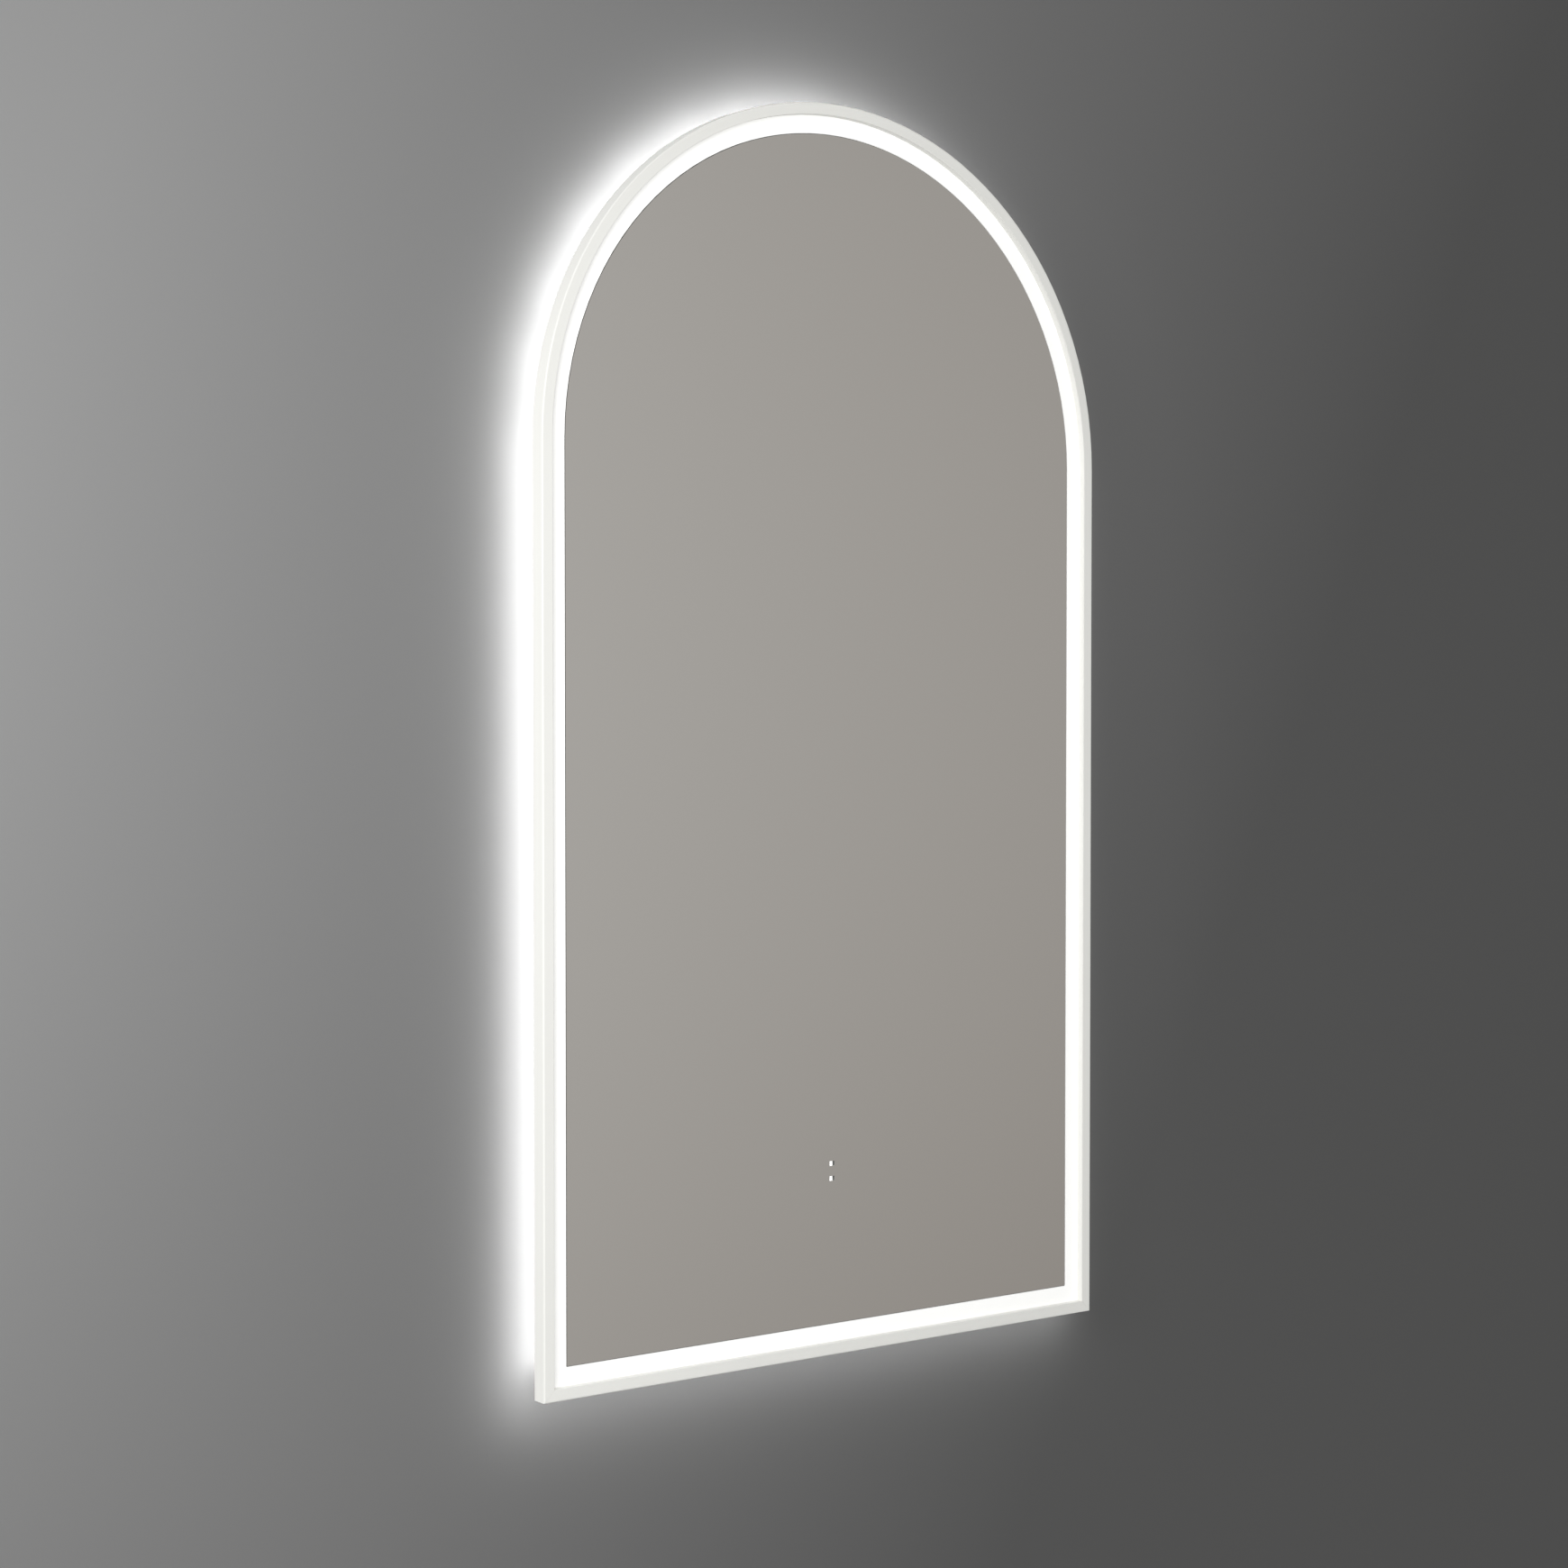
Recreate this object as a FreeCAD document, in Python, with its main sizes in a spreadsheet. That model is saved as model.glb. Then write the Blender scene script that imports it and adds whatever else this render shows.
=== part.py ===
import FreeCAD, Part
import math
import os

import Sketcher

# Lighted arch mirror. X runs to the viewer's right, Z up, and the wall is the plane Y = 0 with the
# room on the -Y side. "Depth" is the distance from the wall, so depth 40 lies at Y = -40.
# "Inset" is the distance in from the frame's outer edge, measured square to that edge.
# The origin is on the wall, at the middle of the wall rail's screw line, level with the arch's centre.

Vector = FreeCAD.Vector
doc = FreeCAD.newDocument("ArchMirror")

# ---------------------------------------------------------------- driving dimensions (mm)

DIMENSIONS = {
    # outline
    "frame_width": 500,
    "straight_height": 650,
    "overall_depth": 40,
    # frame extrusion
    "frame_depth": 12,
    "frame_wall": 1.6,
    "lip_width": 8.4,
    "lip_rise": 5.4,
    "lip_gap": 0.2,
    "rear_flange_width": 9,
    "frame_edge_radius": 1.0,
    "lip_edge_radius": 0.4,
    "mitre_gap": 0.05,
    "key_leg": 40,
    "key_clearance": 0.2,
    "grub_radius": 1.25,
    # mirror pane and lit band
    "band_width": 12.8,
    "glass_thickness": 4,
    "glass_chamfer": 0.4,
    "film_thickness": 0.3,
    "film_inset": 22.8,
    "diffuser_inset": 2.2,
    "diffuser_tongue_inset": 27,
    "joint_half_gap": 0.1,
    "window_width": 4.5,
    "window_rise": 3.5,
    "window_pitch": 10.9,
    "window_height": 132.6,
    "window_sink": 2.5,
    # back pan and the ring that carries the pane
    "sheet": 1.0,
    "pan_inset": 9,
    "pan_depth": 16,
    "pan_flange_inset": 3,
    "pan_bend_radius": 1.5,
    "pan_screw_inset": 6,
    "bead_radius": 5,
    "bead_depth": 1.2,
    "bead_edge_radius": 0.8,
    "ring_wall_inset": 23,
    "ring_wall": 1.2,
    "ring_foot_inset": 32,
    "ring_ledge_inset": 36,
    "bond_inset": 28,
    "bond_width": 7,
    # lighting
    "tape_width": 8,
    "tape_thickness": 0.3,
    "front_tape_inset": 12.5,
    "rear_tape_inset": 14,
    "chip_pitch": 16.7,
    "chip_length": 3.5,
    "chip_width": 2.8,
    "chip_height": 0.8,
    "rear_diffuser_inset": 12,
    "rear_diffuser_width": 12,
    "rear_diffuser_height": 4.5,
    "rear_diffuser_wall": 1.0,
    # electrics box
    "box_width": 260,
    "box_height": 120,
    "box_centre": -360,
    "box_rear_depth": 5,
    "box_front_depth": 28.8,
    "box_wall": 1.8,
    "box_flange": 12,
    "box_radius": 4,
    "gasket_thickness": 1.0,
    "boss_radius": 4,
    "boss_inset": 8,
    "cover_thickness": 1.6,
    "cover_groove_inset": 14,
    "cover_groove_width": 1.6,
    "cover_groove_depth": 0.6,
    "inlet_x": -95,
    "inlet_radius": 5,
    # hanging rails
    "rail_thickness": 2.5,
    "wall_rail_width": 300,
    "wall_rail_half_height": 14,
    "wall_rail_reach": 8,
    "wall_rail_top": 26,
    "wall_hole_radius": 2.75,
    "wall_hole_spacing": 240,
    "hanger_width": 340,
    "hanger_top": 52,
    "hanger_lip_bottom": 15,
    "hanger_lip_depth": 2,
    "hanger_rest_gap": 0.1,
    "hanger_screw_height": 42,
    # screw shanks, with the gap round them in a tight and in a loose hole
    "pan_screw": 1.5,
    "box_screw": 1.7,
    "cover_screw": 1.25,
    "fixing_screw": 1.4,
    "hanger_bolt": 2.0,
    "bumper_screw": 1.7,
    "tight_gap": 0.05,
    "loose_gap": 0.2,
    "nut_across_flats": 7,
    "nut_height": 3.2,
    # leads: sheath radii and the holes they pass through
    "lead_radius": 1.0,
    "thin_lead_radius": 0.9,
    "earth_lead_radius": 1.2,
    "mains_lead_radius": 1.5,
    "lead_hole_gap": 0.3,
    "lead_depth": 20.5,
    "rear_lead_depth": 13.6,
    "rear_lead_x": 200,
    "rear_lead_height": -560,
    "rear_lead_hole": 4,
    "front_lead_out": 108,
    "rear_lead_out": 114,
    "sensor_lead_out": 8,
    "demister_lead_out": -60,
    "front_tape_lead": 32,
    "earth_x": -160,
    "earth_height": -350,
    # small parts
    "bumper_x": 170,
    "bumper_height": -600,
    "bumper_radius": 10,
    "pad_width": 240,
    "pad_height": 300,
    "pad_centre": -60,
    "pad_thickness": 0.4,
    "sensor_width": 36,
    "sensor_height": 34,
    "sensor_rear_depth": 22,
    "driver_length": 130,
    "driver_width": 50,
    "driver_height": 18,
    "driver_left": -35,
    "terminal_width": 30,
    "terminal_height": 20,
    "terminal_depth": 14,
    "terminal_left": -80,
}

sheet = doc.addObject("Spreadsheet::Sheet", "Dim")
for row, (alias, size) in enumerate(DIMENSIONS.items(), start=1):
    sheet.set(f"A{row}", alias.replace("_", " "))
    sheet.set(f"B{row}", str(size))
    sheet.setAlias(f"B{row}", alias)
doc.recompute()


def dim(expression):
    """The value of a sheet expression, such as 'Dim.frame_width / 2'."""
    return float(sheet.evalExpression(str(expression)))


# Depths of the layers, from the wall towards the room, as sheet expressions.
FRONT = "Dim.overall_depth"
FRAME_BACK = "(Dim.overall_depth - Dim.frame_depth)"
FLANGE_FRONT = "(Dim.overall_depth - Dim.frame_depth + Dim.frame_wall)"
MIRROR_FRONT = "(Dim.overall_depth - Dim.lip_rise)"
MIRROR_BACK = "(Dim.overall_depth - Dim.lip_rise - Dim.glass_thickness)"
FILM_BACK = "(Dim.overall_depth - Dim.lip_rise - Dim.glass_thickness - Dim.film_thickness)"
PAN_BACK = "Dim.pan_depth"
PAN_FLOOR = "(Dim.pan_depth + Dim.sheet)"
BOX_FLOOR = "(Dim.box_front_depth - Dim.box_wall)"
BAND_INNER = "(Dim.lip_width + Dim.band_width)"
BOTTOM = "(-Dim.straight_height)"
HALF_WIDTH = "(Dim.frame_width / 2)"
WINDOW_CENTRE = "(Dim.window_height - Dim.straight_height)"
BOX_Z = "Dim.box_centre"
REAR_LEAD_HOLE = ("Dim.rear_lead_x", "Dim.rear_lead_height")
EARTH_PLACE = ("Dim.earth_x", "Dim.earth_height")


# ---------------------------------------------------------------- sketch and feature helpers

def new_body(label):
    body = doc.addObject("PartDesign::Body", label)
    body.Label = label
    return body


def new_sketch(body, name, depth="0", plane="XZ_Plane"):
    """A sketch on the body's own plane, moved to a depth from the wall (or along the plane's normal)."""
    sketch = body.newObject("Sketcher::SketchObject", name)
    support = next(f for f in body.Origin.OriginFeatures if f.Role == plane)
    sketch.AttachmentSupport = (support, [""])
    sketch.MapMode = "FlatFace"
    sketch.setExpression(".AttachmentOffset.Base.z", str(depth))
    return sketch


def bind(sketch, kind, *target, expression):
    """Add a named dimensional constraint whose value follows a sheet expression."""
    value = dim(expression)
    if kind in ("DistanceX", "DistanceY"):
        constraint = Sketcher.Constraint(kind, -1, 1, *target, value)
    else:
        constraint = Sketcher.Constraint(kind, *target, value)
    index = sketch.addConstraint(constraint)
    name = f"size_{index}"
    sketch.renameConstraint(index, name)
    sketch.setExpression(f"Constraints.{name}", str(expression))


def polygon(sketch, corners):
    """A closed outline through corners given as pairs of sheet expressions."""
    points = [Vector(dim(x), dim(y), 0) for x, y in corners]
    first = sketch.GeometryCount
    count = len(points)
    for i in range(count):
        sketch.addGeometry(Part.LineSegment(points[i], points[(i + 1) % count]))
    for i in range(count):
        sketch.addConstraint(Sketcher.Constraint("Coincident", first + i, 2, first + (i + 1) % count, 1))
        bind(sketch, "DistanceX", first + i, 1, expression=corners[i][0])
        bind(sketch, "DistanceY", first + i, 1, expression=corners[i][1])


def rectangle(sketch, centre_x, centre_y, width, height):
    left, right = f"({centre_x}) - ({width}) / 2", f"({centre_x}) + ({width}) / 2"
    low, high = f"({centre_y}) - ({height}) / 2", f"({centre_y}) + ({height}) / 2"
    polygon(sketch, [(left, low), (right, low), (right, high), (left, high)])


def circle(sketch, centre_x, centre_y, radius):
    centre = Vector(dim(centre_x), dim(centre_y), 0)
    index = sketch.addGeometry(Part.Circle(centre, Vector(0, 0, 1), dim(radius)))
    bind(sketch, "DistanceX", index, 3, expression=centre_x)
    bind(sketch, "DistanceY", index, 3, expression=centre_y)
    bind(sketch, "Radius", index, expression=radius)


def slot(sketch, x, low, high, radius):
    """An upright slot with round ends: its centre line, the centres of its two ends and its radius."""
    centre_x, r = dim(x), dim(radius)
    z_low, z_high = dim(low), dim(high)
    first = sketch.GeometryCount
    top, left, bottom, right = first, first + 1, first + 2, first + 3
    axis = Vector(0, 0, 1)
    top_end = Part.Circle(Vector(centre_x, z_high, 0), axis, r)
    low_end = Part.Circle(Vector(centre_x, z_low, 0), axis, r)
    sketch.addGeometry(Part.ArcOfCircle(top_end, 0, math.pi))
    sketch.addGeometry(Part.LineSegment(Vector(centre_x - r, z_high, 0), Vector(centre_x - r, z_low, 0)))
    sketch.addGeometry(Part.ArcOfCircle(low_end, math.pi, 2 * math.pi))
    sketch.addGeometry(Part.LineSegment(Vector(centre_x + r, z_low, 0), Vector(centre_x + r, z_high, 0)))
    for before, after in ((top, left), (left, bottom), (bottom, right), (right, top)):
        sketch.addConstraint(Sketcher.Constraint("Tangent", before, 2, after, 1))
    for end, height in ((top, high), (bottom, low)):
        bind(sketch, "DistanceX", end, 3, expression=x)
        bind(sketch, "DistanceY", end, 3, expression=height)
        bind(sketch, "Radius", end, expression=radius)


def arch(sketch, inset):
    """The frame's outline moved in by an inset: a semicircle on two straight sides and a flat foot."""
    radius = f"Dim.frame_width / 2 - ({inset})"
    foot = f"({inset}) - Dim.straight_height"
    r, low = dim(radius), dim(foot)
    first = sketch.GeometryCount
    bottom, right, top, left = first, first + 1, first + 2, first + 3
    sketch.addGeometry(Part.LineSegment(Vector(-r, low, 0), Vector(r, low, 0)))
    sketch.addGeometry(Part.LineSegment(Vector(r, low, 0), Vector(r, 0, 0)))
    sketch.addGeometry(Part.ArcOfCircle(Part.Circle(Vector(0, 0, 0), Vector(0, 0, 1), r), 0, math.pi))
    sketch.addGeometry(Part.LineSegment(Vector(-r, 0, 0), Vector(-r, low, 0)))
    sketch.addConstraint(Sketcher.Constraint("Coincident", bottom, 2, right, 1))
    sketch.addConstraint(Sketcher.Constraint("Coincident", left, 2, bottom, 1))
    sketch.addConstraint(Sketcher.Constraint("Tangent", right, 2, top, 1))
    sketch.addConstraint(Sketcher.Constraint("Tangent", top, 2, left, 1))
    sketch.addConstraint(Sketcher.Constraint("Horizontal", bottom))
    sketch.addConstraint(Sketcher.Constraint("Vertical", right))
    sketch.addConstraint(Sketcher.Constraint("Coincident", top, 3, -1, 1))
    bind(sketch, "Radius", top, expression=radius)
    bind(sketch, "DistanceY", bottom, 1, expression=foot)


def pad(body, name, sketch, length):
    feature = body.newObject("PartDesign::Pad", name)
    feature.Profile = sketch
    feature.setExpression("Length", str(length))
    return feature


def cut(body, name, sketch, length, forward=True):
    """Cut along the sketch's normal (towards the room), and see that material went."""
    before = body.Shape.Volume
    feature = body.newObject("PartDesign::Pocket", name)
    feature.Profile = sketch
    feature.Reversed = forward
    feature.setExpression("Length", str(length))
    doc.recompute()
    if not body.Shape.Volume < before - 1e-6:
        raise RuntimeError(f"{body.Label}: {name} cut nothing")
    return feature


def span(depth_from, depth_to):
    return f"({depth_to}) - ({depth_from})"


def add_ring(body, name, outer, inner, depth_from, depth_to):
    """Pad the band between two insets from one depth to another."""
    sketch = new_sketch(body, name + "_outline", depth_from)
    arch(sketch, outer)
    if inner is not None:
        arch(sketch, inner)
    pad(body, name, sketch, span(depth_from, depth_to))
    doc.recompute()


def add_block(body, name, centre_x, centre_z, width, height, depth_from, depth_to):
    sketch = new_sketch(body, name + "_outline", depth_from)
    rectangle(sketch, centre_x, centre_z, width, height)
    pad(body, name, sketch, span(depth_from, depth_to))
    doc.recompute()


def cut_block(body, name, centre_x, centre_z, width, height, depth_from, depth_to):
    sketch = new_sketch(body, name + "_outline", depth_from)
    rectangle(sketch, centre_x, centre_z, width, height)
    cut(body, name, sketch, span(depth_from, depth_to))


def cut_holes(body, name, places, radius, depth_from, depth_to):
    sketch = new_sketch(body, name + "_outline", depth_from)
    for x, z in places:
        circle(sketch, x, z, radius)
    cut(body, name, sketch, span(depth_from, depth_to))


def edges_where(shape, test):
    """The names of the edges whose every sample point passes a test."""
    names = []
    for number, edge in enumerate(shape.Edges, start=1):
        first, last = edge.ParameterRange
        samples = [edge.valueAt(first + (last - first) * k / 4) for k in range(5)]
        if all(test(point) for point in samples):
            names.append(f"Edge{number}")
    return names


def round_edges(body, name, test, radius, kind="Fillet"):
    base = body.Tip
    names = edges_where(base.Shape, test)
    if not names:
        raise RuntimeError(f"{body.Label}: {name} found no edge")
    feature = body.newObject("PartDesign::" + kind, name)
    feature.Base = (base, names)
    feature.setExpression("Radius" if kind == "Fillet" else "Size", str(radius))
    doc.recompute()
    return feature


def inset_of(point):
    """How far in from the frame's outer edge a point lies."""
    radius = dim(HALF_WIDTH)
    if point.z > 0:
        return radius - math.hypot(point.x, point.z)
    return min(radius - abs(point.x), point.z - dim(BOTTOM))


def at_depth(point, depth):
    return abs(-point.y - dim(depth)) < 0.01


def shape_part(label, shape):
    """A sub-part whose shape is built with Part's own functions."""
    feature = doc.addObject("Part::Feature", label)
    feature.Label = label
    feature.Shape = shape
    return feature


def cylinder(x, z, radius, depth_from, depth_to):
    """A plain cylinder square to the wall."""
    length = dim(span(depth_from, depth_to))
    foot = Vector(dim(x), -dim(depth_from), dim(z))
    return Part.makeCylinder(dim(radius), length, foot, Vector(0, -1, 0))


def pan_head_screw(x, z, seat, length, shank_radius, head_radius, head_height):
    """A screw driven from behind: its domed head sits on the wall side of its seat."""
    head = cylinder(x, z, head_radius, f"({seat}) - {head_height}", seat)
    rim = edges_where(head, lambda p: abs(-p.y - dim(seat) + head_height) < 0.01)
    rim_edges = [head.Edges[int(name[4:]) - 1] for name in rim]
    head = head.makeFillet(head_height * 0.45, [e for e in rim_edges if e.Length > head_radius])
    recess_side = head_radius * 0.55
    recess = Part.makeBox(recess_side, head_height, recess_side)
    recess.translate(Vector(-recess_side / 2, 0, -recess_side / 2))
    recess.rotate(Vector(0, 0, 0), Vector(0, 1, 0), 45)
    recess.translate(Vector(dim(x), -dim(seat) + head_height * 0.55, dim(z)))
    shank = cylinder(x, z, shank_radius, f"({seat}) - 0.2", f"({seat}) + {length}")
    return head.cut(recess).fuse(shank).removeSplitter()


def screw_set(label, places, seat, length, shank, head_radius, head_height):
    shank_radius = dim(shank)
    screws = [
        pan_head_screw(x, z, seat, length, shank_radius, head_radius, head_height)
        for x, z in places
    ]
    return shape_part(label, Part.makeCompound(screws))


def tight(shank):
    return f"{shank} + Dim.tight_gap"


def loose(shank):
    return f"{shank} + Dim.loose_gap"


def hex_nut(x, z, depth_from, bore):
    """A plain hexagon nut square to the wall, with its bore."""
    corner = dim("Dim.nut_across_flats") / math.sqrt(3)
    height = dim("Dim.nut_height")
    back = dim(depth_from)
    ring = [
        Vector(dim(x) + corner * math.cos(math.radians(60 * k)), -back,
               dim(z) + corner * math.sin(math.radians(60 * k)))
        for k in range(7)
    ]
    blank = Part.Face(Part.makePolygon(ring)).extrude(Vector(0, -height, 0))
    return blank.cut(cylinder(x, z, bore, f"{depth_from} - 1", f"{depth_from} + Dim.nut_height + 1"))


# ---------------------------------------------------------------- places that several pieces share

def pan_screw_places():
    """Screws round the rear flange: along both stiles, round the arch and along the foot."""
    line = f"({HALF_WIDTH} - Dim.pan_screw_inset)"
    places = []
    for k in range(5):
        angle = 18 + 36 * k
        places.append((f"{line} * cos({angle})", f"{line} * sin({angle})"))
    for side in (-1, 1):
        for k in range(4):
            places.append((f"{side} * {line}", f"-Dim.straight_height * {0.12 + 0.25 * k}"))
    for k in (-1, 0, 1):
        places.append((f"{k} * {line} * 0.62", f"{BOTTOM} + Dim.pan_screw_inset"))
    return places


def is_on_foot(place_xz):
    return dim(place_xz[1]) < dim(BOTTOM) + dim("Dim.rear_flange_width")


def box_flange_places():
    side = "(Dim.box_width / 2 + Dim.box_flange / 2)"
    rise = "(Dim.box_height / 2 + Dim.box_flange / 2)"
    places = [(f"{s} * {side}", BOX_Z) for s in (-1, 1)]
    places += [(f"{s} * Dim.box_width * 0.3", f"{BOX_Z} + {v} * {rise}") for s in (-1, 1) for v in (-1, 1)]
    return places


def box_corner_places():
    across = "(Dim.box_width / 2 - Dim.boss_inset)"
    up = "(Dim.box_height / 2 - Dim.boss_inset)"
    return [(f"{s} * {across}", f"{BOX_Z} + {v} * {up}") for s in (-1, 1) for v in (-1, 1)]


def bead_places():
    """Stiffening beads pressed into the pan: x, low end and high end, clear of rail, box and bumpers."""
    places = [(f"{s} * 55", "85", "185") for s in (-1, 1)]
    for x in ("-160", "-55", "55", "160"):
        places.append((x, "-245", "-45"))
        places.append((x, "-570", "-465"))
    return places


def hanger_places():
    return [(f"Dim.hanger_width * {k}", "Dim.hanger_screw_height") for k in (-0.44, -0.15, 0.15, 0.44)]


def bumper_places():
    return [(f"{s} * Dim.bumper_x", "Dim.bumper_height") for s in (-1, 1)]


def window_places():
    return [("0", f"{WINDOW_CENTRE} + {v} * Dim.window_pitch / 2") for v in (-1, 1)]


def driver_fixing_places():
    mid = f"{BOX_Z}"
    return [("Dim.driver_left - 7", mid), ("Dim.driver_left + Dim.driver_length + 7", mid)]


def clamp_places():
    return [(f"Dim.inlet_x + {s} * 11", f"{BOX_Z} - 32") for s in (-1, 1)]


def loop_stations(inset, pitch):
    """Evenly spaced places along the arch outline: x, z and the direction of travel in degrees."""
    radius = dim(HALF_WIDTH) - inset
    low = dim(BOTTOM) + inset
    rise, crown, foot = -low, math.pi * radius, 2 * radius
    total = 2 * rise + crown + foot
    count = int(total / pitch)
    stations = []
    for k in range(count):
        along = total * (k + 0.5) / count
        if along < rise:
            stations.append((radius, low + along, 90))
        elif along < rise + crown:
            turn = (along - rise) / radius
            stations.append((radius * math.cos(turn), radius * math.sin(turn), 90 + math.degrees(turn)))
        elif along < 2 * rise + crown:
            stations.append((-radius, rise + crown - along, 270))
        else:
            stations.append((-radius + along - 2 * rise - crown, low, 0))
    return stations


def chip_set(label, inset, depth_from, depth_to):
    """Light chips along a tape, one small block at each station."""
    length, width = dim("Dim.chip_length"), dim("Dim.chip_width")
    height = depth_to - depth_from
    chips = []
    for x, z, heading in loop_stations(inset, dim("Dim.chip_pitch")):
        chip = Part.makeBox(length, height, width)
        chip.translate(Vector(-length / 2, -depth_to, -width / 2))
        chip.rotate(Vector(0, 0, 0), Vector(0, 1, 0), -heading)
        chip.translate(Vector(x, 0, z))
        chips.append(chip)
    return shape_part(label, Part.makeCompound(chips))


def lead(route, radius):
    """A round lead along straight runs joined by tangent arcs; route points are (x, depth, z)."""
    points = [Vector(x, -depth, z) for x, depth, z in route]
    edges, start = [], points[0]
    for before, corner, after in zip(points, points[1:], points[2:]):
        back, ahead = before - corner, after - corner
        turn = math.pi - back.getAngle(ahead)
        bend = 0.45 * min(back.Length, ahead.Length) / math.tan(turn / 2)
        bend = min(bend, 12.0)
        reach = bend * math.tan(turn / 2)
        entry = corner + back.normalize() * reach
        leave = corner + ahead.normalize() * reach
        middle_way = (entry + leave) * 0.5 - corner
        to_centre = middle_way.normalize() * (bend / math.cos(turn / 2))
        centre = corner + to_centre
        middle = centre - to_centre.normalize() * bend
        edges.append(Part.LineSegment(start, entry).toShape())
        edges.append(Part.Arc(entry, middle, leave).toShape())
        start = leave
    edges.append(Part.LineSegment(start, points[-1]).toShape())
    path = Part.Wire(edges)
    ring = Part.Wire([Part.makeCircle(radius, points[0], points[1] - points[0])])
    tube = path.makePipeShell([ring], True, False)
    error = tube.Volume / (math.pi * radius ** 2 * path.Length) - 1
    print(f"lead {path.Length:.0f} mm long, volume error {error:+.4f}")
    return tube


# ---------------------------------------------------------------- frame

def frame_section():
    """The extrusion's section as (inset, depth) pairs: outer wall, lip with its return, rear flange."""
    wall = "Dim.frame_wall"
    lip = "Dim.lip_width"
    under_lip = f"{MIRROR_FRONT} + Dim.lip_gap"
    return [
        ("0", FRAME_BACK),
        ("0", FRONT),
        (lip, FRONT),
        (lip, under_lip),
        (f"{lip} - {wall}", under_lip),
        (f"{lip} - {wall}", f"{FRONT} - {wall}"),
        (wall, f"{FRONT} - {wall}"),
        (wall, FLANGE_FRONT),
        ("Dim.rear_flange_width", FLANGE_FRONT),
        ("Dim.rear_flange_width", FRAME_BACK),
    ]


def mitre_outline(sketch, gap, keep_foot):
    """A region bounded by the two 45 degree mitre planes at the foot's corners."""
    corner, reach = HALF_WIDTH, "(Dim.rear_flange_width + 6)"
    if keep_foot:
        for side in (-1, 1):
            outer = f"{side} * ({corner} + 4)"
            polygon(sketch, [
                (f"{side} * ({corner} + 4 - {gap})", f"{BOTTOM} - 4"),
                (f"{side} * ({corner} - {reach} - {gap})", f"{BOTTOM} + {reach}"),
                (outer, f"{BOTTOM} + {reach}"),
            ])
    else:
        polygon(sketch, [
            (f"-({corner} + 4 + {gap})", f"{BOTTOM} - 4"),
            (f"{corner} + 4 + {gap}", f"{BOTTOM} - 4"),
            (f"{corner} - {reach} + {gap}", f"{BOTTOM} + {reach}"),
            (f"-({corner} - {reach} + {gap})", f"{BOTTOM} + {reach}"),
        ])


def make_frame_arch():
    body = new_body("frame_arch")
    lip, wall = "Dim.lip_width", "Dim.frame_wall"
    add_ring(body, "outer_wall", "0", wall, FRAME_BACK, FRONT)
    add_ring(body, "front_lip", "0", lip, f"{FRONT} - {wall}", FRONT)
    add_ring(body, "lip_return", f"{lip} - {wall}", lip, f"{MIRROR_FRONT} + Dim.lip_gap", FRONT)
    add_ring(body, "rear_flange", "0", "Dim.rear_flange_width", FRAME_BACK, FLANGE_FRONT)
    round_edges(body, "outer_edge", lambda p: at_depth(p, FRONT) and abs(inset_of(p)) < 0.01,
                "Dim.frame_edge_radius")
    round_edges(body, "lip_edge",
                lambda p: at_depth(p, FRONT) and abs(inset_of(p) - dim(lip)) < 0.01,
                "Dim.lip_edge_radius")
    sketch = new_sketch(body, "mitre_outline", f"{FRAME_BACK} - 1")
    mitre_outline(sketch, "Dim.mitre_gap", keep_foot=False)
    cut(body, "mitre", sketch, "Dim.frame_depth + 2")
    holes = [p for p in pan_screw_places() if not is_on_foot(p)]
    cut_holes(body, "screw_holes", holes, tight("Dim.pan_screw"), FRAME_BACK, FLANGE_FRONT)


def make_frame_bottom_rail():
    body = new_body("frame_bottom_rail")
    sketch = new_sketch(body, "section", f"-{HALF_WIDTH}", "YZ_Plane")
    polygon(sketch, [(f"-({depth})", f"{BOTTOM} + ({inset})") for inset, depth in frame_section()])
    pad(body, "extrusion", sketch, "Dim.frame_width")
    doc.recompute()
    foot = dim(BOTTOM)
    round_edges(body, "outer_edge", lambda p: at_depth(p, FRONT) and abs(p.z - foot) < 0.01,
                "Dim.frame_edge_radius")
    inner = foot + dim("Dim.lip_width")
    round_edges(body, "lip_edge", lambda p: at_depth(p, FRONT) and abs(p.z - inner) < 0.01,
                "Dim.lip_edge_radius")
    sketch = new_sketch(body, "mitre_outline", f"{FRAME_BACK} - 1")
    mitre_outline(sketch, "Dim.mitre_gap", keep_foot=True)
    cut(body, "mitre", sketch, "Dim.frame_depth + 2")
    holes = [p for p in pan_screw_places() if is_on_foot(p)]
    cut_holes(body, "screw_holes", holes, tight("Dim.pan_screw"), FRAME_BACK, FLANGE_FRONT)


def key_span():
    """Insets and depths of the hollow behind the lip, less the key's clearance."""
    clear = "Dim.key_clearance"
    low = f"Dim.frame_wall + {clear}"
    high = f"Dim.lip_width - Dim.frame_wall - {clear}"
    back = f"{MIRROR_FRONT} + Dim.lip_gap + {clear}"
    front = f"{FRONT} - Dim.frame_wall - {clear}"
    return low, high, back, front


def key_screw_places(side):
    low, high, _, _ = key_span()
    middle = f"(({low}) + ({high})) / 2"
    places = []
    for along in (14, 32):
        places.append((f"{side} * ({HALF_WIDTH} - {along})", f"{BOTTOM} + {middle}"))
        places.append((f"{side} * ({HALF_WIDTH} - {middle})", f"{BOTTOM} + {along}"))
    return places


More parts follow.
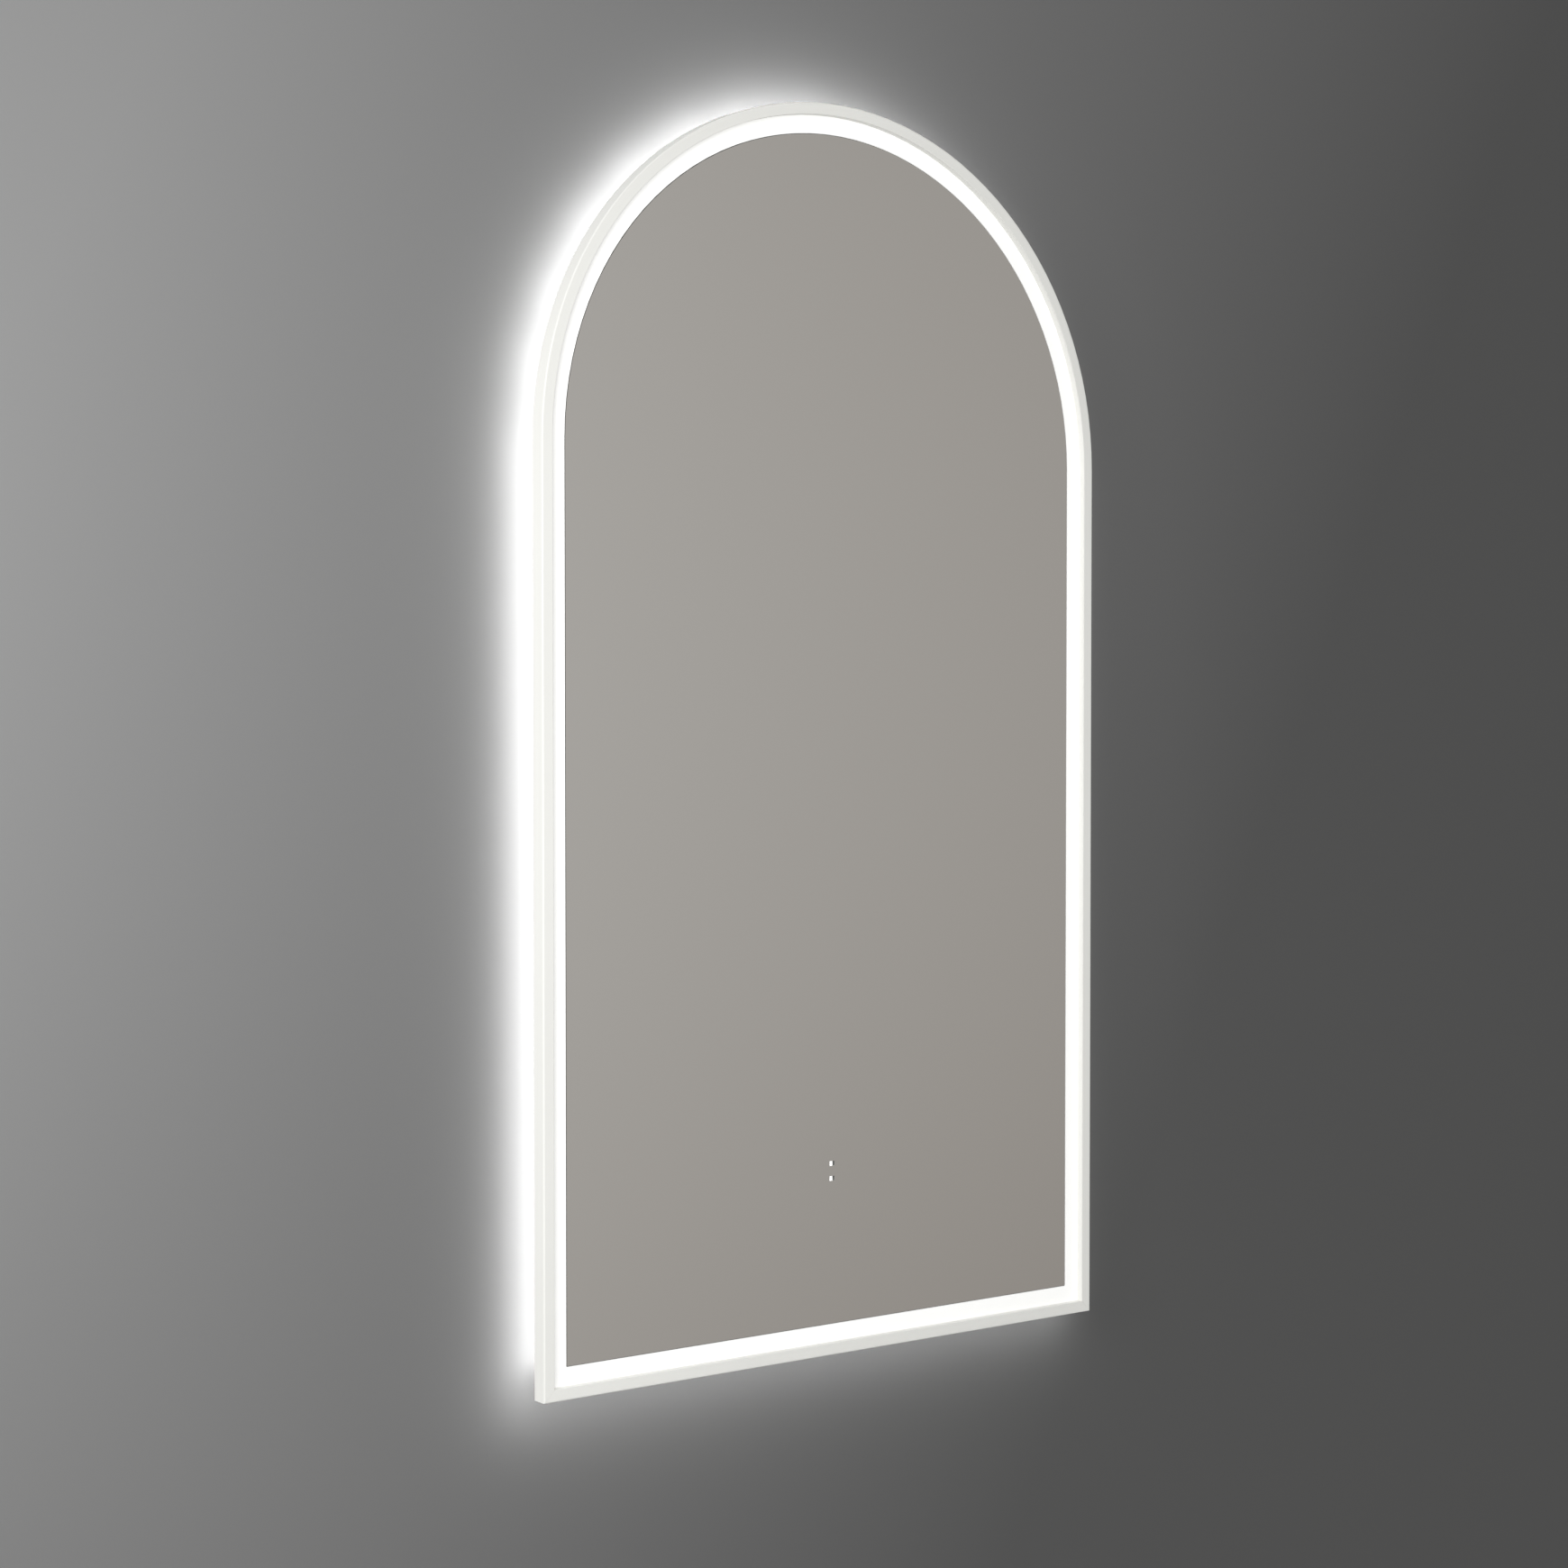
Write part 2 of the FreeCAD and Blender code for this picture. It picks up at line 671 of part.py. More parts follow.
def make_corner_key(side):
    """One L-shaped key in the hollow behind the lip, with tapped holes for its four grub screws."""
    low, high, back, front = key_span()
    name = "left" if side < 0 else "right"
    body = new_body(f"{name}_key_blank")
    sketch = new_sketch(body, "key_outline", back)
    edge = HALF_WIDTH
    polygon(sketch, [
        (f"{side} * ({edge} - ({low}))", f"{BOTTOM} + {low}"),
        (f"{side} * ({edge} - Dim.key_leg)", f"{BOTTOM} + {low}"),
        (f"{side} * ({edge} - Dim.key_leg)", f"{BOTTOM} + {high}"),
        (f"{side} * ({edge} - ({high}))", f"{BOTTOM} + {high}"),
        (f"{side} * ({edge} - ({high}))", f"{BOTTOM} + Dim.key_leg"),
        (f"{side} * ({edge} - ({low}))", f"{BOTTOM} + Dim.key_leg"),
    ])
    pad(body, "key", sketch, span(back, front))
    doc.recompute()
    cut_holes(body, "tapped_holes", key_screw_places(side), "Dim.grub_radius + 0.05", back, front)
    return body


def make_corner_keys():
    shapes = [make_corner_key(side).Shape for side in (-1, 1)]
    shape_part("frame_corner_keys", Part.makeCompound(shapes))
    _, _, back, front = key_span()
    grubs = []
    for side in (-1, 1):
        for x, z in key_screw_places(side):
            grub = cylinder(x, z, "Dim.grub_radius", back, front)
            socket = Part.makeCylinder(0.6, 1.2, Vector(dim(x), -dim(back), dim(z)), Vector(0, -1, 0))
            grubs.append(grub.cut(socket))
    shape_part("corner_key_screws", Part.makeCompound(grubs))


# ---------------------------------------------------------------- mirror pane and lit band

def make_mirror_glass():
    body = new_body("mirror_glass")
    add_ring(body, "pane", f"{BAND_INNER} + Dim.joint_half_gap", None, MIRROR_BACK, MIRROR_FRONT)
    round_edges(body, "polished_edge", lambda p: at_depth(p, MIRROR_FRONT), "Dim.glass_chamfer", "Chamfer")
    sketch = new_sketch(body, "windows_outline", MIRROR_BACK)
    for x, z in window_places():
        rectangle(sketch, x, z, "Dim.window_width", "Dim.window_rise")
    cut(body, "windows", sketch, "Dim.glass_thickness")


def make_mirror_safety_film():
    body = new_body("mirror_safety_film")
    add_ring(body, "film", "Dim.film_inset", None, FILM_BACK, MIRROR_BACK)
    sketch = new_sketch(body, "windows_outline", FILM_BACK)
    for x, z in window_places():
        rectangle(sketch, x, z, "Dim.window_width + 1.4", "Dim.window_rise + 1.4")
    cut(body, "windows", sketch, "Dim.film_thickness")


def make_front_diffuser():
    body = new_body("front_diffuser")
    add_ring(body, "lit_band", "Dim.diffuser_inset", f"{BAND_INNER} - Dim.joint_half_gap",
             FLANGE_FRONT, MIRROR_FRONT)
    add_ring(body, "tongue", "Dim.diffuser_inset", "Dim.diffuser_tongue_inset", FLANGE_FRONT, FILM_BACK)


def make_mirror_support_ring():
    body = new_body("mirror_support_ring")
    outer, wall = "Dim.ring_wall_inset", "Dim.ring_wall"
    add_ring(body, "wall", outer, f"{outer} + {wall}", PAN_FLOOR, FLANGE_FRONT)
    add_ring(body, "ledge", outer, "Dim.ring_ledge_inset", f"{FLANGE_FRONT} - {wall}", FLANGE_FRONT)
    add_ring(body, "foot", outer, "Dim.ring_foot_inset", PAN_FLOOR, f"{PAN_FLOOR} + {wall}")
    sketch = new_sketch(body, "lead_slot_outline", f"{BOTTOM} + {outer} - 1", "XY_Plane")
    slot_depth = f"-({PAN_FLOOR} + {wall} + 3)"
    circle(sketch, "Dim.front_tape_lead", slot_depth, "Dim.lead_radius + Dim.lead_hole_gap")
    cut(body, "lead_slot", sketch, f"{wall} + 2")


def make_mirror_bonding_tape():
    body = new_body("mirror_bonding_tape")
    add_ring(body, "tape", "Dim.bond_inset", "Dim.bond_inset + Dim.bond_width", FLANGE_FRONT, FILM_BACK)


# ---------------------------------------------------------------- back pan and lighting

def make_back_pan():
    body = new_body("back_pan")
    inset, gauge = "Dim.pan_inset", "Dim.sheet"
    add_ring(body, "floor", inset, None, PAN_BACK, PAN_FLOOR)
    add_ring(body, "wall", inset, f"{inset} + {gauge}", PAN_BACK, FRAME_BACK)
    add_ring(body, "flange", "Dim.pan_flange_inset", f"{inset} + {gauge}",
             f"{FRAME_BACK} - {gauge}", FRAME_BACK)
    round_edges(body, "bend", lambda p: at_depth(p, PAN_BACK), "Dim.pan_bend_radius")
    ridges = new_sketch(body, "bead_ridges_outline", PAN_FLOOR)
    grooves = new_sketch(body, "bead_grooves_outline", PAN_BACK)
    for x, low, high in bead_places():
        slot(ridges, x, low, high, f"Dim.bead_radius + {gauge}")
        slot(grooves, x, low, high, "Dim.bead_radius")
    pad(body, "bead_ridges", ridges, "Dim.bead_depth")
    doc.recompute()
    cut(body, "bead_grooves", grooves, "Dim.bead_depth")
    round_edges(body, "bead_edges",
                lambda p: at_depth(p, PAN_BACK) and inset_of(p) > dim(inset) + 2 * dim("Dim.pan_bend_radius"),
                "Dim.bead_edge_radius")
    cut_block(body, "box_opening", "0", BOX_Z, "Dim.box_width + 2", "Dim.box_height + 2", PAN_BACK, PAN_FLOOR)
    cut_holes(body, "flange_holes", pan_screw_places(), loose("Dim.pan_screw"),
              f"{FRAME_BACK} - {gauge}", FRAME_BACK)
    cut_holes(body, "box_screw_holes", box_flange_places(), tight("Dim.box_screw"), PAN_BACK, PAN_FLOOR)
    cut_holes(body, "hanger_holes", hanger_places(), tight("Dim.hanger_bolt"), PAN_BACK, PAN_FLOOR)
    cut_holes(body, "bumper_holes", bumper_places(), tight("Dim.bumper_screw"), PAN_BACK, PAN_FLOOR)
    cut_holes(body, "rear_lead_hole", [REAR_LEAD_HOLE], "Dim.rear_lead_hole", PAN_BACK, PAN_FLOOR)


def make_tape(label, inset, depth_from, depth_to):
    body = new_body(label)
    add_ring(body, "tape", inset, f"{inset} + Dim.tape_width", depth_from, depth_to)


def make_lighting():
    tape, chip = "Dim.tape_thickness", "Dim.chip_height"
    make_tape("front_led_tape", "Dim.front_tape_inset", PAN_FLOOR, f"{PAN_FLOOR} + {tape}")
    make_tape("rear_led_tape", "Dim.rear_tape_inset", f"{PAN_BACK} - {tape}", PAN_BACK)
    middle = dim("Dim.tape_width / 2")
    chip_set("front_led_chips", dim("Dim.front_tape_inset") + middle,
             dim(f"{PAN_FLOOR} + {tape}"), dim(f"{PAN_FLOOR} + {tape} + {chip}"))
    chip_set("rear_led_chips", dim("Dim.rear_tape_inset") + middle,
             dim(f"{PAN_BACK} - {tape} - {chip}"), dim(f"{PAN_BACK} - {tape}"))
    body = new_body("rear_diffuser")
    outer, wall = "Dim.rear_diffuser_inset", "Dim.rear_diffuser_wall"
    inner = f"({outer} + Dim.rear_diffuser_width)"
    back = f"({PAN_BACK} - Dim.rear_diffuser_height)"
    add_ring(body, "face", outer, inner, back, f"{back} + {wall}")
    add_ring(body, "outer_side", outer, f"{outer} + {wall}", back, PAN_BACK)
    add_ring(body, "inner_side", f"{inner} - {wall}", inner, back, PAN_BACK)
    rounded = [dim(outer), dim(inner)]
    round_edges(body, "soft_edges",
                lambda p: at_depth(p, back) and min(abs(inset_of(p) - r) for r in rounded) < 0.01, "0.8")
    sketch = new_sketch(body, "lead_notch_outline", f"{HALF_WIDTH} - {inner} - 0.5", "YZ_Plane")
    circle(sketch, "-Dim.rear_lead_depth", REAR_LEAD_HOLE[1], "Dim.thin_lead_radius + Dim.lead_hole_gap")
    cut(body, "lead_notch", sketch, f"{wall} + 1")


# ---------------------------------------------------------------- electrics box

def box_ring(body, name, grow, depth_from, depth_to):
    add_block(body, name, "0", BOX_Z, f"Dim.box_width + {grow}", f"Dim.box_height + {grow}",
              depth_from, depth_to)


def make_electrics_box():
    body = new_body("electrics_box")
    rear, front, wall = "Dim.box_rear_depth", "Dim.box_front_depth", "Dim.box_wall"
    flange_front = f"({PAN_BACK} - Dim.gasket_thickness)"
    flange_back = f"({flange_front} - 1.2)"
    box_ring(body, "tray", "0", rear, front)
    half_w, half_h = dim("Dim.box_width / 2"), dim("Dim.box_height / 2")
    middle = dim(BOX_Z)
    round_edges(body, "corners",
                lambda p: abs(abs(p.x) - half_w) < 0.01 and abs(abs(p.z - middle) - half_h) < 0.01,
                "Dim.box_radius")
    box_ring(body, "flange", "2 * Dim.box_flange", flange_back, flange_front)
    cut_block(body, "cavity", "0", BOX_Z, f"Dim.box_width - 2 * {wall}", f"Dim.box_height - 2 * {wall}",
              rear, BOX_FLOOR)
    sketch = new_sketch(body, "bosses_outline", rear)
    for x, z in box_corner_places():
        circle(sketch, x, z, "Dim.boss_radius")
    pad(body, "bosses", sketch, span(rear, BOX_FLOOR))
    doc.recompute()
    cut_holes(body, "cover_screw_holes", box_corner_places(), tight("Dim.cover_screw"), rear, f"{rear} + 12")
    cut_holes(body, "flange_holes", box_flange_places(), tight("Dim.box_screw"), flange_back, flange_front)
    cut_holes(body, "fixing_holes", driver_fixing_places() + clamp_places(),
              tight("Dim.fixing_screw"), BOX_FLOOR, front)
    low_holes = new_sketch(body, "low_lead_holes_outline", f"{BOX_Z} - Dim.box_height / 2 - 1", "XY_Plane")
    for x in ("Dim.front_lead_out", "Dim.rear_lead_out", "Dim.sensor_lead_out"):
        circle(low_holes, x, "-Dim.lead_depth", "Dim.lead_radius + Dim.lead_hole_gap")
    cut(body, "low_lead_holes", low_holes, f"{wall} + 1")
    high_hole = new_sketch(body, "high_lead_hole_outline", f"{BOX_Z} + Dim.box_height / 2 - {wall} - 0.5",
                           "XY_Plane")
    circle(high_hole, "Dim.demister_lead_out", "-Dim.lead_depth", "Dim.lead_radius + Dim.lead_hole_gap")
    cut(body, "high_lead_hole", high_hole, f"{wall} + 1")
    side_hole = new_sketch(body, "earth_lead_hole_outline", "-Dim.box_width / 2 - 0.5", "YZ_Plane")
    circle(side_hole, "-Dim.lead_depth", f"{BOX_Z} + 20", "Dim.earth_lead_radius + Dim.lead_hole_gap")
    cut(body, "earth_lead_hole", side_hole, f"{wall} + 1")


def make_electrics_box_gasket():
    body = new_body("electrics_box_gasket")
    back = f"({PAN_BACK} - Dim.gasket_thickness)"
    box_ring(body, "seal", "2 * Dim.box_flange", back, PAN_BACK)
    cut_block(body, "opening", "0", BOX_Z, "Dim.box_width + 1", "Dim.box_height + 1", back, PAN_BACK)
    cut_holes(body, "screw_holes", box_flange_places(), loose("Dim.box_screw"), back, PAN_BACK)


def make_electrics_cover():
    body = new_body("electrics_cover")
    rear = "(Dim.box_rear_depth - Dim.cover_thickness)"
    box_ring(body, "plate", "0", rear, "Dim.box_rear_depth")
    half_w, half_h = dim("Dim.box_width / 2"), dim("Dim.box_height / 2")
    middle = dim(BOX_Z)
    round_edges(body, "corners",
                lambda p: abs(abs(p.x) - half_w) < 0.01 and abs(abs(p.z - middle) - half_h) < 0.01,
                "Dim.box_radius")
    cut_holes(body, "screw_holes", box_corner_places(), loose("Dim.cover_screw"), rear, "Dim.box_rear_depth")
    cut_holes(body, "inlet_hole", [("Dim.inlet_x", BOX_Z)], "Dim.inlet_radius + 3", rear,
              "Dim.box_rear_depth")
    groove = new_sketch(body, "groove_outline", rear)
    for inset in ("Dim.cover_groove_inset", "(Dim.cover_groove_inset + Dim.cover_groove_width)"):
        rectangle(groove, "0", BOX_Z, f"Dim.box_width - 2 * {inset}", f"Dim.box_height - 2 * {inset}")
    cut(body, "groove", groove, "Dim.cover_groove_depth")
    screw_set("electrics_cover_screws", box_corner_places(), rear, 12, "Dim.cover_screw", 2.7, 1.5)


def make_grommet(label, x, z, bore, plate_back, plate_front, neck, brim, brim_thickness):
    """A rubber grommet turned about its bore: a groove for the plate between two brims."""
    body = new_body(label)
    sketch = new_sketch(body, "section", x, "YZ_Plane")
    back, front = f"-({plate_back})", f"-({plate_front})"

    def ring_point(radius, along):
        return (along, f"({z}) + ({radius})")

    polygon(sketch, [
        ring_point(bore, f"{back} + {brim_thickness}"),
        ring_point(brim, f"{back} + {brim_thickness}"),
        ring_point(brim, back),
        ring_point(neck, back),
        ring_point(neck, front),
        ring_point(brim, front),
        ring_point(brim, f"{front} - {brim_thickness}"),
        ring_point(bore, f"{front} - {brim_thickness}"),
    ])
    axis_line = sketch.addGeometry(Part.LineSegment(Vector(-30, dim(z), 0), Vector(0, dim(z), 0)), True)
    sketch.addConstraint(Sketcher.Constraint("Horizontal", axis_line))
    bind(sketch, "DistanceY", axis_line, 1, expression=z)
    bind(sketch, "DistanceX", axis_line, 1, expression="-30")
    bind(sketch, "DistanceX", axis_line, 2, expression="0")
    turned = body.newObject("PartDesign::Revolution", "turned")
    turned.Profile = sketch
    turned.ReferenceAxis = (sketch, ["Axis0"])
    turned.Angle = 360
    doc.recompute()


def make_terminal_block():
    body = new_body("terminal_block")
    left, width = "Dim.terminal_left", "Dim.terminal_width"
    middle_x = f"{left} + {width} / 2"
    back = f"({BOX_FLOOR} - Dim.terminal_depth)"
    add_block(body, "body", middle_x, BOX_Z, width, "Dim.terminal_height", back, BOX_FLOOR)
    wells = [
        (f"{left} + {width} * {k} / 6", f"{BOX_Z} + {v} * Dim.terminal_height * 0.28")
        for k in (1, 3, 5) for v in (-1, 1)
    ]
    cut_holes(body, "screw_wells", wells, "2.2", back, f"{back} + 5")
    entries = new_sketch(body, "wire_entries_outline", f"{BOX_Z} - Dim.terminal_height / 2 - 1", "XY_Plane")
    for k in (1, 3, 5):
        circle(entries, f"{left} + {width} * {k} / 6", f"-({back} + 9.5)", "1.9")
    cut(body, "wire_entries", entries, "7")
    screws = []
    for x, z in wells:
        screw = cylinder(x, z, "2.1", f"{back} + 2.5", f"{back} + 5")
        slot = Part.makeBox(6, 0.8, 0.7)
        slot.translate(Vector(dim(x) - 3, -dim(back) - 2.5 - 0.8, dim(z) - 0.35))
        screws.append(screw.cut(slot))
    shape_part("terminal_screws", Part.makeCompound(screws))


def make_driver():
    """The sealed power supply: a tray with fixing ears, its lid, and the board with its parts."""
    left, length, width = "Dim.driver_left", "Dim.driver_length", "Dim.driver_width"
    middle_x = f"{left} + {length} / 2"
    back = f"({BOX_FLOOR} - Dim.driver_height)"
    tray_back = f"({back} + 1.2)"
    case = new_body("driver_case")
    add_block(case, "tray", middle_x, BOX_Z, length, width, tray_back, BOX_FLOOR)
    cut_block(case, "cavity", middle_x, BOX_Z, f"{length} - 3", f"{width} - 3",
              tray_back, f"{BOX_FLOOR} - 1.5")
    add_block(case, "ears", middle_x, BOX_Z, f"{length} + 28", "18", f"{BOX_FLOOR} - 1.5", BOX_FLOOR)
    cut_holes(case, "ear_holes", driver_fixing_places(), loose("Dim.fixing_screw"),
              f"{BOX_FLOOR} - 1.5", BOX_FLOOR)
    lid = new_body("driver_lid")
    add_block(lid, "lid", middle_x, BOX_Z, length, width, back, tray_back)
    middle = dim(BOX_Z)
    round_edges(lid, "soft_edges", lambda p: at_depth(p, back), "0.8")
    board = new_body("driver_circuit_board")
    board_back = f"({BOX_FLOOR} - 5)"
    add_block(board, "board", middle_x, BOX_Z, f"{length} - 6", f"{width} - 6",
              board_back, f"{board_back} + 1.6")
    for k in (-1, 1):
        add_block(board, f"post_{k + 1}", f"{middle_x} + {k} * ({length} / 2 - 8)", BOX_Z, "6", "20",
                  f"{board_back} + 1.6", f"{BOX_FLOOR} - 1.5")
    transformer = new_body("driver_transformer")
    add_block(transformer, "core", middle_x, BOX_Z, "30", "24", f"{board_back} - 10", board_back)
    add_block(transformer, "winding", middle_x, BOX_Z, "16", "30", f"{board_back} - 8", f"{board_back} - 1")
    capacitors = []
    for along, up in ((28, -10), (28, 6), (-34, 0)):
        can = cylinder(f"{middle_x} + {along}", f"{middle} + {up}", "5.5", f"{board_back} - 9.5", board_back)
        capacitors.append(can)
    shape_part("driver_capacitors", Part.makeCompound(capacitors))
    screw_set("driver_fixing_screws", driver_fixing_places(), f"{BOX_FLOOR} - 1.5", 3.0,
              "Dim.fixing_screw", 2.8, 1.8)


def make_cable_clamp():
    body = new_body("cable_clamp")
    back = f"({BOX_FLOOR} - 6)"
    z = f"({BOX_Z} - 32)"
    add_block(body, "bar", "Dim.inlet_x", z, "32", "9", back, BOX_FLOOR)
    groove = new_sketch(body, "groove_outline", f"{z} - 6", "XY_Plane")
    circle(groove, "Dim.inlet_x", f"-({BOX_FLOOR})", "4")
    cut(body, "groove", groove, "12")
    cut_holes(body, "screw_holes", clamp_places(), loose("Dim.fixing_screw"), back, BOX_FLOOR)
    screw_set("cable_clamp_screws", clamp_places(), back, 7.4, "Dim.fixing_screw", 2.8, 1.8)


def make_earth():
    x, z = EARTH_PLACE
    foot = cylinder(x, z, "5", PAN_FLOOR, f"{PAN_FLOOR} + 1")
    stud = foot.fuse(cylinder(x, z, "2", PAN_FLOOR, f"{PAN_FLOOR} + 9"))
    shape_part("earth_stud", stud.removeSplitter())
    shape_part("earth_nut", hex_nut(x, z, f"({PAN_FLOOR} + 2.4)", "2.05"))


# ---------------------------------------------------------------- demister and touch sensor

def make_demister_pad():
    body = new_body("demister_pad")
    back = f"({FILM_BACK} - Dim.pad_thickness)"
    add_block(body, "heating_film", "0", "Dim.pad_centre", "Dim.pad_width", "Dim.pad_height", back, FILM_BACK)
    half_w, half_h = dim("Dim.pad_width / 2"), dim("Dim.pad_height / 2")
    middle = dim("Dim.pad_centre")
    round_edges(body, "corners",
                lambda p: abs(abs(p.x) - half_w) < 0.01 and abs(abs(p.z - middle) - half_h) < 0.01, "12")
    add_block(body, "lead_tab", "Dim.demister_lead_out", "Dim.pad_centre - Dim.pad_height / 2", "16", "20",
              back, FILM_BACK)


def make_touch_sensor():
    housing = new_body("touch_sensor_housing")
    rear, width, height = "Dim.sensor_rear_depth", "Dim.sensor_width", "Dim.sensor_height"
    inside = f"({rear} + 4)"
    add_block(housing, "case", "0", WINDOW_CENTRE, width, height, rear, FILM_BACK)
    cut_block(housing, "board_pocket", "0", WINDOW_CENTRE, f"{width} - 3", f"{height} - 3", rear, inside)
    sketch = new_sketch(housing, "guide_holes_outline", inside)
    for x, z in window_places():
        rectangle(sketch, x, z, "Dim.window_width", "Dim.window_rise")
    cut(housing, "guide_holes", sketch, span(inside, FILM_BACK))
    notch = new_sketch(housing, "lead_notch_outline", f"{WINDOW_CENTRE} + {height} / 2 - 2", "XY_Plane")
    circle(notch, "Dim.sensor_lead_out", f"-({rear} + 1.8)", "Dim.thin_lead_radius + Dim.lead_hole_gap")
    cut(housing, "lead_notch", notch, "2.5")
    board = new_body("touch_sensor_board")
    add_block(board, "board", "0", WINDOW_CENTRE, f"{width} - 3.4", f"{height} - 3.4",
              f"{inside} - 1.8", f"{inside} - 0.6")
    for k, (x, z) in enumerate(window_places()):
        add_block(board, f"light_{k}", x, z, "3", "2.4", f"{inside} - 0.6", f"{inside} - 0.1")
    face = f"({MIRROR_FRONT} - Dim.window_sink)"
    guides = []
    width, rise = dim("Dim.window_width") - 0.2, dim("Dim.window_rise") - 0.2
    for x, z in window_places():
        post = Part.makeBox(width, dim(span(inside, face)), rise)
        post.translate(Vector(dim(x) - width / 2, -dim(face), dim(z) - rise / 2))
        guides.append(post)
    shape_part("touch_light_guides", Part.makeCompound(guides))


# ---------------------------------------------------------------- hanging rails and bumpers

def make_rail(label, width, section):
    """A straight extrusion along X from a section of (depth, height) pairs."""
    body = new_body(label)
    sketch = new_sketch(body, "section", f"-({width}) / 2", "YZ_Plane")
    polygon(sketch, [(f"-({depth})", height) for depth, height in section])
    pad(body, "extrusion", sketch, width)
    doc.recompute()
    return body


def make_rails():
    gauge = "Dim.rail_thickness"
    low, high, top = "-Dim.wall_rail_half_height", "Dim.wall_rail_half_height", "Dim.wall_rail_top"
    reach = "Dim.wall_rail_reach"
    wall_rail = make_rail("wall_rail", "Dim.wall_rail_width", [
        ("0", low),
        (gauge, low),
        (gauge, f"{high} - {gauge}"),
        (reach, f"{high} - {gauge}"),
        (reach, top),
        (f"{reach} - {gauge}", top),
        (f"{reach} - {gauge}", high),
        ("0", high),
    ])
    wall_holes = [(f"{s} * Dim.wall_hole_spacing / 2", "0") for s in (-1, 1)]
    cut_holes(wall_rail, "wall_screw_holes", wall_holes, "Dim.wall_hole_radius", "0", gauge)
    rest = f"({top} + Dim.hanger_rest_gap)"
    lip = "Dim.hanger_lip_depth"
    hanger = make_rail("hanger_rail", "Dim.hanger_width", [
        (lip, "Dim.hanger_lip_bottom"),
        (f"{lip} + {gauge}", "Dim.hanger_lip_bottom"),
        (f"{lip} + {gauge}", rest),
        (PAN_BACK, rest),
        (PAN_BACK, "Dim.hanger_top"),
        (f"{PAN_BACK} - {gauge}", "Dim.hanger_top"),
        (f"{PAN_BACK} - {gauge}", f"{rest} + {gauge}"),
        (lip, f"{rest} + {gauge}"),
    ])
    seat = f"{PAN_BACK} - {gauge}"
    cut_holes(hanger, "screw_holes", hanger_places(), tight("Dim.hanger_bolt"), seat, PAN_BACK)
    screw_set("hanger_screws", hanger_places(), seat, 8.0, "Dim.hanger_bolt", 3.8, 2.4)
    nuts = [hex_nut(x, z, PAN_FLOOR, tight("Dim.hanger_bolt")) for x, z in hanger_places()]
    shape_part("hanger_nuts", Part.makeCompound(nuts))


def make_bumpers():
    bumpers = []
    radius, length = dim("Dim.bumper_radius"), dim(PAN_BACK)
    for x, z in bumper_places():
        foot = Vector(dim(x), -length, dim(z))
        cone = Part.makeCone(radius, radius - 2, length, foot, Vector(0, 1, 0))
        rim = [e for e in cone.Edges if len(e.Vertexes) == 1 and abs(e.Vertexes[0].Y) < 0.01
               and e.Length < 2 * math.pi * (radius - 1)]
        cone = cone.makeFillet(1.2, rim)
        bore = cylinder(x, z, "1.8", f"{PAN_BACK} - 8", PAN_BACK)
        well = cylinder(x, z, "3.6", "-1", f"{PAN_BACK} - 8")
        bumpers.append(cone.cut(bore).cut(well))
    shape_part("wall_bumpers", Part.makeCompound(bumpers))
    screw_set("bumper_screws", bumper_places(), f"{PAN_BACK} - 8", 12.0, "Dim.bumper_screw", 3.4, 2.0)


# ---------------------------------------------------------------- leads

